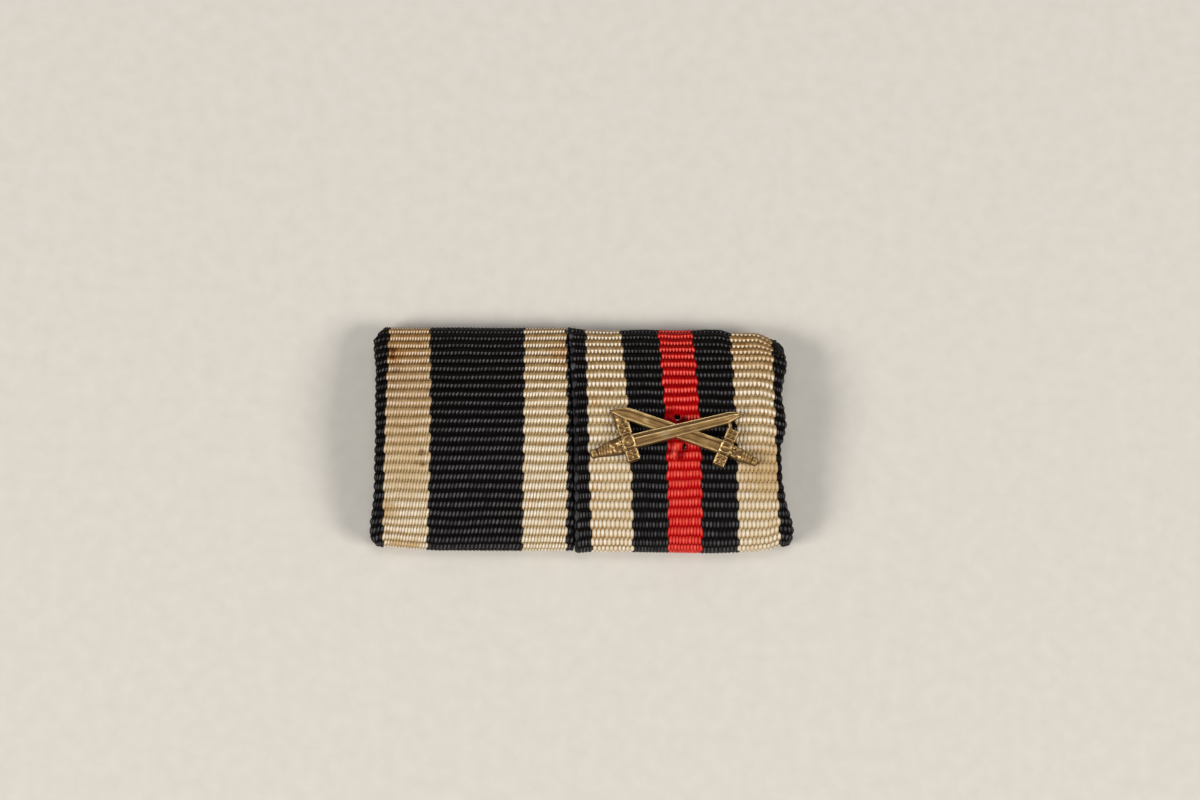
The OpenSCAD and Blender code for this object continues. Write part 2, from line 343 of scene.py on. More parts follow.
@dataclass(frozen=True)
class FloatShape:
    """Shape of one float, the stretch of a warp yarn that lies over one rib.

    A float is widest on the rib's crest and runs out to a tip past the groove on either side, where
    the next rib's floats, half a place along, close over it. Depths are in millimetres.
    """

    fullness: float = 1.16
    tip_reach: float = 0.68
    least_width: float = 0.1
    fall_power: float = 1.7
    fall: float = 0.125
    roundness: float = 0.07
    floor: float = 0.34

    def relief(self, u: Points, v: Points, slant: float) -> Points:
        """Depth of the floats below the rib crests.

        For the two ribs nearest to v: the distance t from the rib's crest, the distance q from the
        nearest float's middle, and the fall fall * |2t|^fall_power + roundness * (q / width)^2. The
        higher of the two floats shows.

        Args:
            u: place across the ribbon, in floats.
            v: place along the ribbon, in ribs.
            slant: how far a float leans across its rib, in floats.

        Returns:
            The height, 0 on the crests and negative below them.
        """
        best = np.full(np.broadcast(u, v).shape, -np.inf)
        for rib in (np.floor(v), np.floor(v) + 1):
            t = v - rib
            shift = 0.5 * np.mod(rib, 2)
            across = u - slant * t
            q = 2 * (across - shift - np.round(across - shift))
            swell = self.fullness * np.cos(0.5 * np.pi * t / self.tip_reach)
            width = np.clip(swell, self.least_width, 1)
            rise = -self.fall * np.abs(2 * t) ** self.fall_power - self.roundness * (q / width) ** 2
            best = np.maximum(best, rise)
        return np.maximum(best, -self.floor)


class Yarn(Enum):
    """Colours of warp yarn."""

    BLACK = "black"
    CREAM = "cream"
    RED = "red"


@dataclass(frozen=True)
class Stripe:
    """One stripe: its yarn, how many floats it is wide and where its right-hand border runs.

    The border is given near the top edge, at the crown and near the bottom edge; with no border the
    stripe ends at the ribbon's own edge. rib_shift moves its ribs up against the neighbours'.
    """

    yarn: Yarn
    floats: float
    border: Triple | None = None
    rib_shift: float = 0.0


class EdgeKind(Enum):
    """What one long edge of a ribbon does."""

    FREE = "free"
    OVER = "over"
    UNDER = "under"


@dataclass(frozen=True)
class Edge:
    """One long edge of a ribbon.

    outline holds rows of height and place. round_over is the half width of the edge's rounding.
    Within droop_reach of the edge the ribs bend down by up to droop, given in rows of height and
    amount. calm is how much flatter the weave is at the edge, and strand the outermost float's width.
    """

    kind: EdgeKind
    outline: Table
    round_over: float
    droop: Table
    calm: float
    droop_reach: float = 1.0
    strand: float = 0.28

    def at(self, y: Points) -> Points:
        """Place of the edge at height y."""
        return read(self.outline, y)


@dataclass(frozen=True)
class Puncture:
    """A hole pushed through the cloth.

    It has a middle and a radius; lip is how far the cloth round it is drawn in, and rows how many
    rows of the ribbon's grid it takes out.
    """

    x: float
    y: float
    radius: float
    lip: float
    rows: int


@dataclass(frozen=True)
class Snag:
    """A float or two pulled up out of the cloth: middle, half width, half length and height."""

    x: float
    y: float
    half_w: float
    half_l: float
    height: float


@dataclass(frozen=True)
class Unevenness:
    """Smooth noise laid over a ribbon: its amount, its cells to a unit each way, and its lattice."""

    amount: float
    across: float
    along: float
    start: Pair
    lattice: int

    def at(self, x: Points, y: Points, seed: int) -> Points:
        """The amount times value_noise at (start + x * across, start + y * along)."""
        cell_x, cell_y = x * self.across + self.start[0], y * self.along + self.start[1]
        return self.amount * value_noise(cell_x, cell_y, seed + self.lattice)


@dataclass
class WovenRibbon:
    """A ribbed ribbon wrapped round the plate: one closed wall whose outer face is woven relief.

    Its points are a grid: each row is a closed ring round the ribbon's width, and the rows follow
    each other from the lower cut end over the front to the upper one. name is the piece's and its
    material slot's. rib_start is the length from the crown to one rib's crest, rib_pitch that from
    rib to rib. seam is the edge of the ribbon that lies on top where the two meet. The sags tell,
    place by place across, how far a fold gives way.
    """

    name: str
    node: str
    section: BarSection
    shape: FloatShape
    stripes: tuple[Stripe, ...]
    left: Edge
    right: Edge
    rib_pitch: float
    rib_start: float
    slant: float
    seam: Table
    seed: int
    top_sag: Table = ((0, 0),)
    bottom_sag: Table = ((0, 0),)
    punctures: tuple[Puncture, ...] = ()
    snags: tuple[Snag, ...] = ()

    # Steps of the grid, and its columns round the edges and on the inner face.
    columns_per_float: int = 4
    rows_per_rib: int = 8
    row_margin: float = 0.06
    rim_steps: int = 5
    rim_floats: float = 0.4
    rim_turn: float = 0.93
    under_steps: int = 12
    under_inset: float = 1.3
    least_flat: float = 0.02
    # Where stripes are given, how their ribs blend, and how near an edge the weave calms down.
    border_heights: Triple = (7.0, 0.0, -7.6)
    border_blend: float = 0.13
    calm_reach: float = 0.7
    # Over a lap, under one, along the folds, and round the punctures.
    lap_rise: float = 0.1
    lap_span: Pair = (0.1, 1.4)
    sink_span: Pair = (-0.08, 0.0)
    step_span: Pair = (0.25, 0.4)
    fold_span: Pair = (5.2, 8.0)
    push_reach: float = 0.9
    lip_reach: float = 1.3
    # How real cloth strays from the even weave.
    thick_and_thin: Unevenness = Unevenness(0.18, 0.9, 0.9, (0, 0), 0)
    buckle: Unevenness = Unevenness(0.035, 1 / 3.1, 1 / 2.6, (40, 60), 1)
    rib_drift: Unevenness = Unevenness(0.05, 1 / 2.2, 0.31, (30, 20), 2)
    float_drift: Unevenness = Unevenness(0.022, 0.5, 1.0, (0, 0), 3)
    float_sway: Unevenness = Unevenness(0.022, 0.8, 1.0, (0, 0), 4)

    @property
    def floats(self) -> float:
        """Number of floats across the ribbon."""
        return sum(s.floats for s in self.stripes)

    def _rows(self) -> Points:
        """Places of the grid's rows, with every second one left out behind the folds.

        Returns:
            The places in ribs, from the lower cut end to the upper one.
        """
        end = self.section.half_len
        low, high = (-end - self.rib_start) / self.rib_pitch, (end - self.rib_start) / self.rib_pitch
        fine = np.arange(math.ceil(low * self.rows_per_rib), math.floor(high * self.rows_per_rib) + 1)
        s = self.rib_start + fine / self.rows_per_rib * self.rib_pitch
        hidden = np.abs(s) > self.section.front_len + self.section.edge_len * 0.5
        v = fine[~hidden | (fine % 2 == 0)] / self.rows_per_rib
        return np.concatenate(([low], v[(v > low + self.row_margin) & (v < high - self.row_margin)], [high]))

    def _across(self, y: Points) -> tuple[Points, Points, Points, Points]:
        """Places of the outer face's points across the ribbon, row by row.

        Inside, places run straight from border to border. In the outermost stripes they run along
        the flat cloth and then round a quarter ellipse, by length.

        Args:
            y: height of each row.

        Returns:
            u of each column, then x, the angle round the edge and the side (-1, 0 or 1) of each point.
        """
        u = np.arange(int(self.floats * self.columns_per_float) + 1) / self.columns_per_float
        ends = np.cumsum([s.floats for s in self.stripes])
        fits = [np.polyfit(self.border_heights, s.border, 2) for s in self.stripes[:-1]]
        borders = np.stack([np.polyval(f, y) for f in fits], axis=1)
        weights = np.stack([np.interp(u, ends[:-1], row) for row in np.eye(len(ends) - 1)])
        x = borders @ weights
        angle, side = np.zeros_like(x), np.zeros_like(x)
        parts = (
            (self.left, -1, borders[:, :1], 1 - u / ends[0], u < ends[0]),
            (self.right, 1, borders[:, -1:], (u - ends[-2]) / (ends[-1] - ends[-2]), u > ends[-2]),
        )
        for edge, hand, border, share, chosen in parts:
            half_t = self._half_thickness(edge.kind)
            bend = 0.5 * math.pi * math.sqrt((edge.round_over**2 + half_t**2) / 2)
            flat = np.maximum(hand * (edge.at(y)[:, None] - border) - edge.round_over, self.least_flat)
            count = self.stripes[0 if hand < 0 else -1].floats
            width = flat + bend
            inner = (width - edge.strand) * np.minimum(share[chosen] * count / (count - 1), 1)
            along = inner + edge.strand * np.maximum(share[chosen] * count - count + 1, 0)
            past = np.clip((along - flat) / bend, 0, 1)
            x[:, chosen] = border + hand * np.minimum(along, flat)
            angle[:, chosen] = past * 0.5 * math.pi
            side[:, chosen] = hand
        return u, x, angle, side

    def _with_rims(
        self, u: Points, x: Points, angle: Points, side: Points
    ) -> tuple[Points, Points, Points, Points]:
        """Adds the columns that run on round both edges to the inner face, by equal turns.

        Args:
            u: place of each column, in floats.
            x: places across (rows, columns).
            angle: how far each point has turned round its edge.
            side: -1, 0 or 1 for a point at the left edge, between or at the right one.

        Returns:
            The four with the columns of both rims added.
        """
        steps = np.arange(self.rim_steps, 0, -1)
        turn = 0.5 * math.pi * (1 + self.rim_turn * steps / self.rim_steps)
        rim_u = steps * self.rim_floats
        none = np.zeros((len(x), self.rim_steps))
        x = np.hstack([x[:, :1] + none, x, x[:, -1:] + none])
        angle = np.hstack([turn + none, angle, turn[::-1] + none])
        side = np.hstack([none - 1, side, none + 1])
        return np.concatenate([-rim_u, u, self.floats + rim_u[::-1]]), x, angle, side

    def _half_thickness(self, kind: EdgeKind) -> float:
        """Half the cloth's thickness at an edge.

        Args:
            kind: what the edge does.

        Returns:
            Half of the whole cloth, or of the layer that it is where the ribbons lap.
        """
        section = self.section
        if kind is EdgeKind.FREE:
            return section.cloth_t / 2
        if kind is EdgeKind.OVER:
            return (section.reach + self.lap_rise - section.middle_d - section.gap / 2) / 2
        return (section.middle_d - section.gap - section.inner_d) / 2

    def _top(self, x: Points, y: Points) -> Points:
        """Distance of the rib crests from the plate's middle: bulged over a lap, sunk under one.

        Args:
            x: places across (rows, columns).
            y: height of each row.

        Returns:
            The distance at each point.
        """
        section = self.section
        past_seam = x - read(self.seam, y)[:, None]
        if self.left.kind is EdgeKind.OVER:
            return section.reach + self.lap_rise * (1 - smoothstep(*self.lap_span, past_seam))
        sunk = section.cloth_t / 2 + section.gap
        return section.reach - sunk * smoothstep(*self.sink_span, past_seam)

    def _under(self, x: Points) -> Points:
        """Distance of the inner face from the plate's middle: stepped up where it lies over a lap.

        Args:
            x: places across.

        Returns:
            The distance at each of them.
        """
        section = self.section
        if self.left.kind is not EdgeKind.OVER:
            return np.full_like(x, section.inner_d)
        lapped = section.middle_d + section.gap / 2
        return lapped + (section.inner_d - lapped) * smoothstep(*self.step_span, x)

    def _rib_shift(self, u: Points) -> Points:
        """How far each column's ribs stand above the others', blended where two stripes meet.

        Args:
            u: place of each column, in floats.

        Returns:
            The shift of each column.
        """
        ends = np.cumsum([s.floats for s in self.stripes])
        starts = np.concatenate([[-1 - self.border_blend], ends[:-1]])
        held = np.stack([starts + self.border_blend, ends - self.border_blend], axis=1)
        return np.interp(u, held.ravel(), np.repeat([s.rib_shift for s in self.stripes], 2))

    def _grid(self) -> tuple[Points, Points, Points, list[tuple[int, int]]]:
        """Works out the ribbon's points as rows of a closed ring round its width.

        A ring runs round the left edge, over the outer face, round the right edge and back along
        the inner face. Each point stands off the plate's middle by the rib crests' distance and the
        floats' relief, along the direction that the edge's rounding has turned to.

        Returns:
            The points (rows, ring, 3), u (ring), v (rows) and each puncture's row and column.
        """
        section, edges = self.section, (self.left, self.right)
        v = self._rows()
        s = self.rib_start + v * self.rib_pitch
        y = section.place(s, np.full_like(s, section.reach))[0]
        u, x, angle, side = self._with_rims(*self._across(y))
        uu, vv = np.meshgrid(u, v)

        relief = self.shape.relief(uu, vv, self.slant)
        relief *= 1 - self._near_edges(x, y, [(e.calm, self.calm_reach) for e in edges])
        relief *= 1 + self.thick_and_thin.at(uu, vv, self.seed)
        half, middle = self._wall(x, y, side)
        place_x = x + side * self._round_over(side) * np.sin(angle) + side * relief * np.sin(angle)
        place_x = place_x + self.float_sway.at(uu, vv, self.seed)
        place_d = middle + (half + relief) * np.cos(angle) + self.buckle.at(x, s[:, None], self.seed)

        droops = [(read(e.droop, y)[:, None], e.droop_reach) for e in edges]
        along = s[:, None] + self._rib_shift(u)[None, :] - self._near_edges(x, y, droops)
        along = along + self.rib_drift.at(x, vv, self.seed) + self.float_drift.at(uu, vv, self.seed)
        spots = self._spots(place_x, along)
        place_x, along, place_d = self._disturbed(place_x, along, place_d, spots)
        along = np.clip(along, -section.half_len, section.half_len)

        under_x = self._under_columns(y)
        outer = slice(self.rim_steps, -self.rim_steps)
        under_u = np.interp(under_x.mean(axis=0), x.mean(axis=0)[outer], u[outer])
        place_x = np.hstack([place_x, under_x])
        along = np.hstack([along, s[:, None] + 0 * under_x])
        place_d = np.hstack([place_d, self._under(under_x)])
        place_y, place_z = section.place(along, place_d)
        place_y = place_y - self._sag(place_x, place_y, place_d)
        return np.stack([place_x, place_y, place_z], axis=-1), np.concatenate([u, under_u]), v, spots

    def _spots(self, x: Points, s: Points) -> list[tuple[int, int]]:
        """Finds the point nearest to each puncture.

        Args:
            x: places across (rows, columns).
            s: lengths along the rib crests, of the same shape.

        Returns:
            Row and column of each puncture.
        """
        spots = []
        for hole in self.punctures:
            away = np.hypot(x - hole.x, s - self.section.length_at(hole.y))
            spots.append(np.unravel_index(np.argmin(away), away.shape))
        return spots

    def _sag(self, x: Points, y: Points, d: Points) -> Points:
        """How far the folded edges give way: the crests in full, the inner face not at all.

        The folds' tables are read at x, and their effect fades in over the last part of the height.

        Args:
            x: place across of each point.
            y: height of each point.
            d: distance of each point from the plate's middle.

        Returns:
            How far each point comes down, or up where it is negative.
        """
        crest = np.clip((d - self.section.inner_d) / self.section.cloth_t, 0, 1)
        top = read(self.top_sag, x) * smoothstep(*self.fold_span, y)
        bottom = read(self.bottom_sag, x) * smoothstep(*self.fold_span, -y)
        return crest * (top - bottom)

    def _near_edges(self, x: Points, y: Points, amounts: list[tuple[float | Points, float]]) -> Points:
        """An amount at each edge that fades by a square to nothing at its reach.

        Args:
            x: places across (rows, columns).
            y: height of each row.
            amounts: amount and reach at the left edge and at the right one.

        Returns:
            The sum of both at each point.
        """
        away = (x - self.left.at(y)[:, None], self.right.at(y)[:, None] - x)
        return sum(amount * np.clip(1 - d / reach, 0, 1) ** 2 for d, (amount, reach) in zip(away, amounts))

    def _wall(self, x: Points, y: Points, side: Points) -> tuple[Points, Points]:
        """The wall behind each point of the outer face.

        Args:
            x: places across (rows, columns).
            y: height of each row.
            side: -1, 0 or 1 for a point at the left edge, between or at the right one.

        Returns:
            Half its thickness and the distance of its middle from the plate's.
        """
        top, under = self._top(x, y), self._under(x)
        edge_under = self._under(np.full_like(x, -1.0)) if self.left.kind is EdgeKind.OVER else under
        under = np.where(side < 0, edge_under, under)
        return (top - under) / 2, (top + under) / 2

    def _round_over(self, side: Points) -> Points:
        """Half width of the edge's rounding on each point's side."""
        return np.where(side < 0, self.left.round_over, self.right.round_over)

    def _under_columns(self, y: Points) -> Points:
        """Places of the inner face's points, evenly from the right edge back to the left one.

        Args:
            y: height of each row.

        Returns:
            The places (rows, under_steps).
        """
        left = self.left.at(y) + self.left.round_over * self.under_inset
        right = self.right.at(y) - self.right.round_over * self.under_inset
        share = np.linspace(1, 0, self.under_steps)
        return left[:, None] + (right - left)[:, None] * share

    def _disturbed(
        self, x: Points, s: Points, d: Points, spots: list[tuple[int, int]]
    ) -> tuple[Points, Points, Points]:
        """Opens the cloth round each puncture and lifts the snagged floats.

        A point at distance r from a puncture moves out to sqrt(r^2 + R^2), less and less away from
        it, and the cloth round it sinks by the lip. A snag rises as a round hump.

        Args:
            x: place across of each point.
            s: its length along the rib crests.
            d: its distance from the plate's middle.
            spots: row and column of each puncture.

        Returns:
            The three, moved.
        """
        for hole, spot in zip(self.punctures, spots):
            dx, ds = x - x[spot], s - s[spot]
            r = np.maximum(np.hypot(dx, ds), 1e-6)
            push = (np.sqrt(r * r + hole.radius**2) - r) * hump(r, 0, self.push_reach)
            x = x + dx / r * push
            s = s + ds / r * push
            d = d - hole.lip * hump(r, 0, self.lip_reach * hole.radius)
        for snag in self.snags:
            dx, ds = (x - snag.x) / snag.half_w, (s - self.section.length_at(snag.y)) / snag.half_l
            d = d + snag.height * hump(np.hypot(dx, ds), 0, 1)
        return x, s, d

    def _open_punctures(
        self, points: Points, quads: Points, spots: list[tuple[int, int]]
    ) -> tuple[Points, Faces]:
        """Takes out the cells at each puncture and walls it through to the inner face.

        Args:
            points: the ribbon's points (rows, ring, 3).
            quads: its quads (rows - 1, ring, 4).
            spots: row and column of each puncture.

        Returns:
            A mask of the quads that stay, and the walls' faces.
        """
        keep = np.ones(quads.shape[:2], bool)
        walls: Faces = []
        rows, ring = points.shape[:2]
        outer = ring - self.under_steps
        number = np.arange(rows * ring).reshape(rows, ring)
        for hole, (row, column) in zip(self.punctures, spots):
            low = row - hole.rows // 2
            high = low + hole.rows
            left, right = column - 1, column + 1
            under = outer + int(np.argmax(points[row, outer:, 0] < hole.x)) - 1
            keep[low:high, left:right] = False
            keep[low:high, under] = False
            for here, above in zip(number[low:high], number[low + 1:high + 1]):
                walls.append([int(n) for n in (here[left], above[left], above[under + 1], here[under + 1])])
                walls.append([int(n) for n in (here[right], here[under], above[under], above[right])])
            for end in (number[low], number[high]):
                walls.append(end[left:right + 1].tolist() + end[under:under + 2].tolist())
        return keep, walls

    def _caps(self, rows: int, ring: int) -> Faces:
        """Faces over the two cut ends, one for each step of the inner face.

        Args:
            rows: number of rows.
            ring: number of points in a row.

        Returns:
            The faces of both ends.
        """
        outer = ring - self.under_steps
        stops = np.round(np.linspace(outer - 1, 0, self.under_steps + 1)).astype(int)
        stops[self.under_steps - 1] = 0
        faces: Faces = []
        for start in (0, (rows - 1) * ring):
            for step in range(self.under_steps - 1):
                skin = [start + i for i in range(stops[step + 1], stops[step] + 1)]
                faces.append(skin + [start + outer + step, start + outer + step + 1])
        return faces

    def build(self, material: bpy.types.Material) -> bpy.types.Object:
        """Makes the ribbon, which stands for its solid.

        Args:
            material: the woven finish.

        Returns:
            The ribbon's object.
        """
        points, u, v, spots = self._grid()
        rows, ring = points.shape[:2]
        quads = grid_quads(rows, ring, True)
        keep, walls = self._open_punctures(points, quads, spots)
        faces = quads[keep].tolist() + walls + self._caps(rows, ring)
        weave = np.stack(np.meshgrid(u, v), axis=-1).reshape(-1, 2)
        shell = Shell(points.reshape(-1, 3), faces, {"weave": weave})
        piece = make_piece(self.name, shell, material)
        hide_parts(self.node)
        low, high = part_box(self.node)
        return piece


Bands = tuple[Triple, ...]

# The blades' sections: place from edge to back, depth, and tone.
FRONT_BANDS: Bands = (
    (-1.0, 0.42, -0.4), (-0.95, 0.22, -0.1), (-0.88, 0.12, 0.15), (-0.74, 0.1, 0.05), (-0.6, 0.1, -0.12),
    (-0.42, 0.07, -0.15), (-0.34, 0.03, 0.0), (-0.1, 0.035, -0.05), (0.08, 0.03, 0.0), (0.18, 0.01, 0.45),
    (0.34, 0.0, 0.45), (0.4, 0.07, -0.3), (0.48, 0.14, -0.7), (0.66, 0.14, -0.6), (0.72, 0.04, -0.05),
    (0.77, 0.0, 0.4), (0.9, 0.0, 0.4), (0.96, 0.1, -0.2), (1.0, 0.42, -0.5),
)
REAR_BANDS: Bands = (
    (-1.0, 0.42, -0.5), (-0.95, 0.15, -0.15), (-0.86, 0.03, 0.05), (-0.6, 0.01, 0.02), (-0.5, 0.03, -0.05),
    (-0.3, 0.04, 0.0), (0.1, 0.04, -0.06), (0.3, 0.05, -0.1), (0.38, 0.085, -0.3), (0.46, 0.085, -0.3),
    (0.54, 0.035, -0.05), (0.7, 0.02, -0.05), (0.9, 0.03, -0.05), (0.95, 0.12, -0.25), (1.0, 0.42, -0.5),
)


@dataclass(frozen=True)
class Sword:
    """One sword. Its frame has its guard's middle at the origin, X towards its point and Z up.

    The hilt is turned against the blade, because the castings are slightly bent at the guard. hand
    is 1 for a sword that points right and -1 for one that points left, whose Y is turned over so
    that the back of its blade is uppermost too. bands describes the blade's section from edge to
    back: place from -1 to 1, depth, and tone from -1, toned dark, to 1, worn bright. grip_ws are the
    grip's widths at the guard, halfway and at the pommel.
    """

    place: Pair
    hand: int
    blade_tilt: float
    hilt_tilt: float
    blade_len: float
    blade_w: float
    blade_tip_w: float
    back_shoulder: float
    edge_shoulder: float
    tip_off: float
    hilt_len: float
    height: float
    bands: Bands
    grip_ws: Triple
    guard_len: float = 2.84
    block_len: float = 0.84
    guard_w: float = 0.88
    guard_h: float = 0.8
    grip_h: float = 0.62

    # The blade's tip, facet, nicks and scratches.
    tip_blunt: float = 0.05
    tip_drop: float = 0.24
    facet_h: float = 0.1
    nick_h: float = 0.012
    scratch_h: float = 0.006
    blade_foot_h: float = 0.04
    # The guard's ends, waists, boss, bevels and cast skin.
    guard_end_r: float = 0.07
    waist_share: float = 0.72
    waist_drop: float = 0.1
    boss_r: float = 0.46
    bevel_h: float = 0.3
    end_bevel_h: float = 0.2
    rough_h: float = 0.03
    # The grip from the guard's middle on, with lumps, wire and pommel at shares of its length.
    grip_start: float = 0.3
    lumps_end: float = 0.36
    wire_start: float = 0.42
    wire_pitch: float = 0.215
    wire_h: float = 0.04
    lump_h: float = 0.055
    pommel_start: float = 0.78
    pommel_groove_h: float = 0.1
    grip_foot_h: float = 0.03
    # The beads on the grip's root.
    beads: Table = ((-0.56, 0.2), (-0.48, -0.2))
    bead_r: float = 0.1
    bead_rise: float = 0.06

    def _blade(self) -> Shell:
        """The blade: stations along its length, each with the section's bands.

        Each edge runs straight from the guard to its shoulder, and then bends over to the tip by a
        power of the share past the shoulder. The section flattens and drops towards the tip, where a
        facet is ground along it.

        Returns:
            The blade's shell.
        """
        q = np.linspace(-1, 1, 81)
        depth, tone = (np.interp(q, *np.array(self.bands)[:, [0, i]].T) for i in (1, 2))
        shoulder = self.blade_len - max(self.back_shoulder, self.edge_shoulder)
        x = np.concatenate([np.linspace(0, shoulder, 64), np.linspace(shoulder, self.blade_len, 44)[1:]])
        half = 0.5 * np.interp(x, [0, self.blade_len], [self.blade_w, self.blade_tip_w])
        past = [np.clip(1 - (self.blade_len - x) / s, 0, 1) for s in (self.back_shoulder, self.edge_shoulder)]
        back = half + (self.tip_off + self.tip_blunt - half) * past[0] ** 1.5
        edge = -half + (self.tip_off - self.tip_blunt + half) * past[1] ** 1.35
        y = (back + edge)[:, None] / 2 + (back - edge)[:, None] / 2 * q
        x, point = x[:, None], np.maximum(*past)[:, None]
        facet = self.facet_h * smoothstep(0.25, 0.45, point) * smoothstep(0.05, 0.0, np.abs(q + 0.35))
        nicks = self.nick_h * value_noise(x * 2.3 + 9, q * 2 + self.blade_tilt, 5)
        scratches = value_noise(x * 0.9 + q * 0.5, q * 17 + self.blade_tilt, 6)
        z = self.height - depth * (1 - 0.45 * point**2) - facet - self.tip_drop * point**4 + nicks
        z = z + self.scratch_h * scratches
        rubbed = value_noise(x * 1.7 + self.blade_tilt, q * 1.3, 7)
        ground = 0.6 * point * smoothstep(-0.55, -0.8, q)
        by_guard = 0.35 * smoothstep(0.55, 0.45, x)
        shade = tone * (1 - 0.3 * point) + ground + 0.16 * scratches + 0.22 * rubbed - by_guard
        top = np.stack([np.broadcast_to(x, y.shape), y, np.maximum(z, self.blade_foot_h)], axis=-1)
        return footed(top, shade)

    def _block_relief(self, along: Points, across: Points) -> Points:
        """Relief of a square end block: a rim, a sunk square, and a raised lozenge with petals.

        Args:
            along: place along the guard, from -1 to 1 over the block.
            across: place across it, from -1 to 1.

        Returns:
            The height above the block's plain face.
        """
        square = np.maximum(np.abs(along), np.abs(across))
        lozenge = np.abs(along) + np.abs(across)
        petals = 0.03 * np.cos(4 * np.arctan2(across, along)) * smoothstep(0.75, 0.4, square)
        sunk = 0.02 * smoothstep(0.85, 0.7, square)
        return 0.04 * hump(square, 0.84, 0.1) - sunk + 0.07 * smoothstep(0.9, 0.1, lozenge) + petals

    def _boss_relief(self, ring: Points) -> Points:
        """Relief of the guard's boss at a share of its radius: a rim, a groove and a low dome."""
        rim, groove = 0.05 * hump(ring, 0.88, 0.14), 0.015 * hump(ring, 0.62, 0.12)
        return rim - groove + 0.04 * smoothstep(0.5, 0.1, ring)

    def _guard(self) -> Shell:
        """The guard: stations from end to end, with a block at each end and a framed boss between.

        It is full wide and high at the blocks and the boss and narrower and lower at the waists, and
        its ends are rounded over by a quarter circle.

        Returns:
            The guard's shell.
        """
        a = np.linspace(-self.guard_len / 2, self.guard_len / 2, 141)
        from_end = self.guard_len / 2 - np.abs(a)
        q = np.linspace(-1, 1, 45)
        on_block = smoothstep(self.block_len + 0.05, self.block_len - 0.04, from_end)
        on_boss = smoothstep(0.56, 0.4, np.abs(a))
        full = np.maximum(on_block, on_boss)
        end_round = np.sqrt(np.clip(1 - (1 - from_end / self.guard_end_r).clip(0, 1) ** 2, 0.3, 1))
        half = self.guard_w / 2 * (self.waist_share + (1 - self.waist_share) * full) * end_round
        b = half[:, None] * q
        aa = np.broadcast_to(a[:, None], b.shape)
        block_a = (from_end[:, None] - self.block_len / 2) / (self.block_len / 2) * np.ones_like(b)
        relief = self._block_relief(block_a, np.broadcast_to(q, b.shape)) * on_block[:, None]
        relief = relief + self._boss_relief(np.hypot(aa / self.boss_r, q * 0.9)) * on_boss[:, None]
        waist = -self.waist_drop * (1 - full)[:, None]
        bevel = self.bevel_h * smoothstep(0.94, 1.0, np.abs(q))
        bevel = bevel + self.end_bevel_h * smoothstep(0.05, 0.0, from_end)[:, None]
        rough = value_noise(aa * 6 + 3, b * 6 + self.hilt_tilt, 8)
        z = self.guard_h + relief + waist - bevel + self.rough_h * rough
        return footed(np.stack([b[:, ::-1], aa, z[:, ::-1]], axis=-1), 0.2 * rough[:, ::-1] - 0.12)

    def _grip(self) -> Shell:
        """The grip and its pommel: a low bar that narrows, lumpy by the guard and then wound with wire.

        The wire's turns are a power of |cos| of the length over the wire's pitch, leaned a little by
        the place across. The section is a flattened arch, (1 - |q|^4)^0.6 of its height.

        Returns:
            The shell of both.
        """
        length = self.hilt_len - self.grip_start
        x = np.linspace(0, length, 150)
        q = np.linspace(-1, 1, 31)
        share = x / length
        pommel = self.pommel_start
        root, middle, end = self.grip_ws
        places = [0, 0.4, pommel, pommel + 0.02, 0.9, 1]
        half = np.interp(share, places, [root, middle, end, end * 0.92, end, end * 0.86]) / 2
        cap = np.sqrt(np.clip(1 - ((share - 0.93) / 0.07).clip(0, 1) ** 2, 0.03, 1))
        y = (half * cap)[:, None] * q
        wave = np.abs(np.cos(math.pi * (x[:, None] + 0.2 * y) / self.wire_pitch)) ** 0.7 - 0.6
        wound = smoothstep(self.lumps_end, self.wire_start, share)
        wound = (wound * smoothstep(pommel + 0.01, pommel - 0.03, share))[:, None]
        lumps = value_noise(x[:, None] * 5.5 + self.hilt_tilt, y * 5.5 + 3, 11)
        lumpy = smoothstep(self.wire_start, self.lumps_end, share)[:, None]
        groove = -self.pommel_groove_h * hump(share, pommel, 0.02)[:, None]
        crest = self.grip_h * np.interp(share, [0, 0.75, 1], [1, 0.8, 0.7]) * cap
        relief = self.wire_h * wave * wound + self.lump_h * lumps * lumpy + 0.02 * lumps + groove
        z = crest[:, None] * (1 - np.abs(q) ** 4) ** 0.6 + relief
        shade = (0.7 * wave - 0.2) * wound + (0.4 * lumps - 0.15) * lumpy + 0.1 * lumps
        shade = shade - 0.3 - 0.5 * np.abs(q) ** 3 + 4 * groove
        x_all = np.broadcast_to(-self.grip_start - x[:, None], y.shape)
        top = np.stack([x_all, y, np.maximum(z, self.grip_foot_h)], axis=-1)
        return footed(top[::-1], shade[::-1])

    def _beads(self) -> Shell:
        """Two small beads where the grip leaves the guard: circles of latitude, closed at the poles.

        Returns:
            The shell of both.
        """
        polar = np.linspace(0.08, math.pi - 0.08, 9)[:, None]
        turn = np.linspace(0, 2 * math.pi, 14, endpoint=False)
        ring = self.bead_r * np.sin(polar)
        z = self.grip_h + self.bead_rise + self.bead_r * np.cos(polar) + 0 * turn
        rings = [[x + ring * np.cos(turn), y + ring * np.sin(turn), z] for x, y in self.beads]
        return Shell.joined([tube(np.stack(r, axis=-1)) for r in rings])

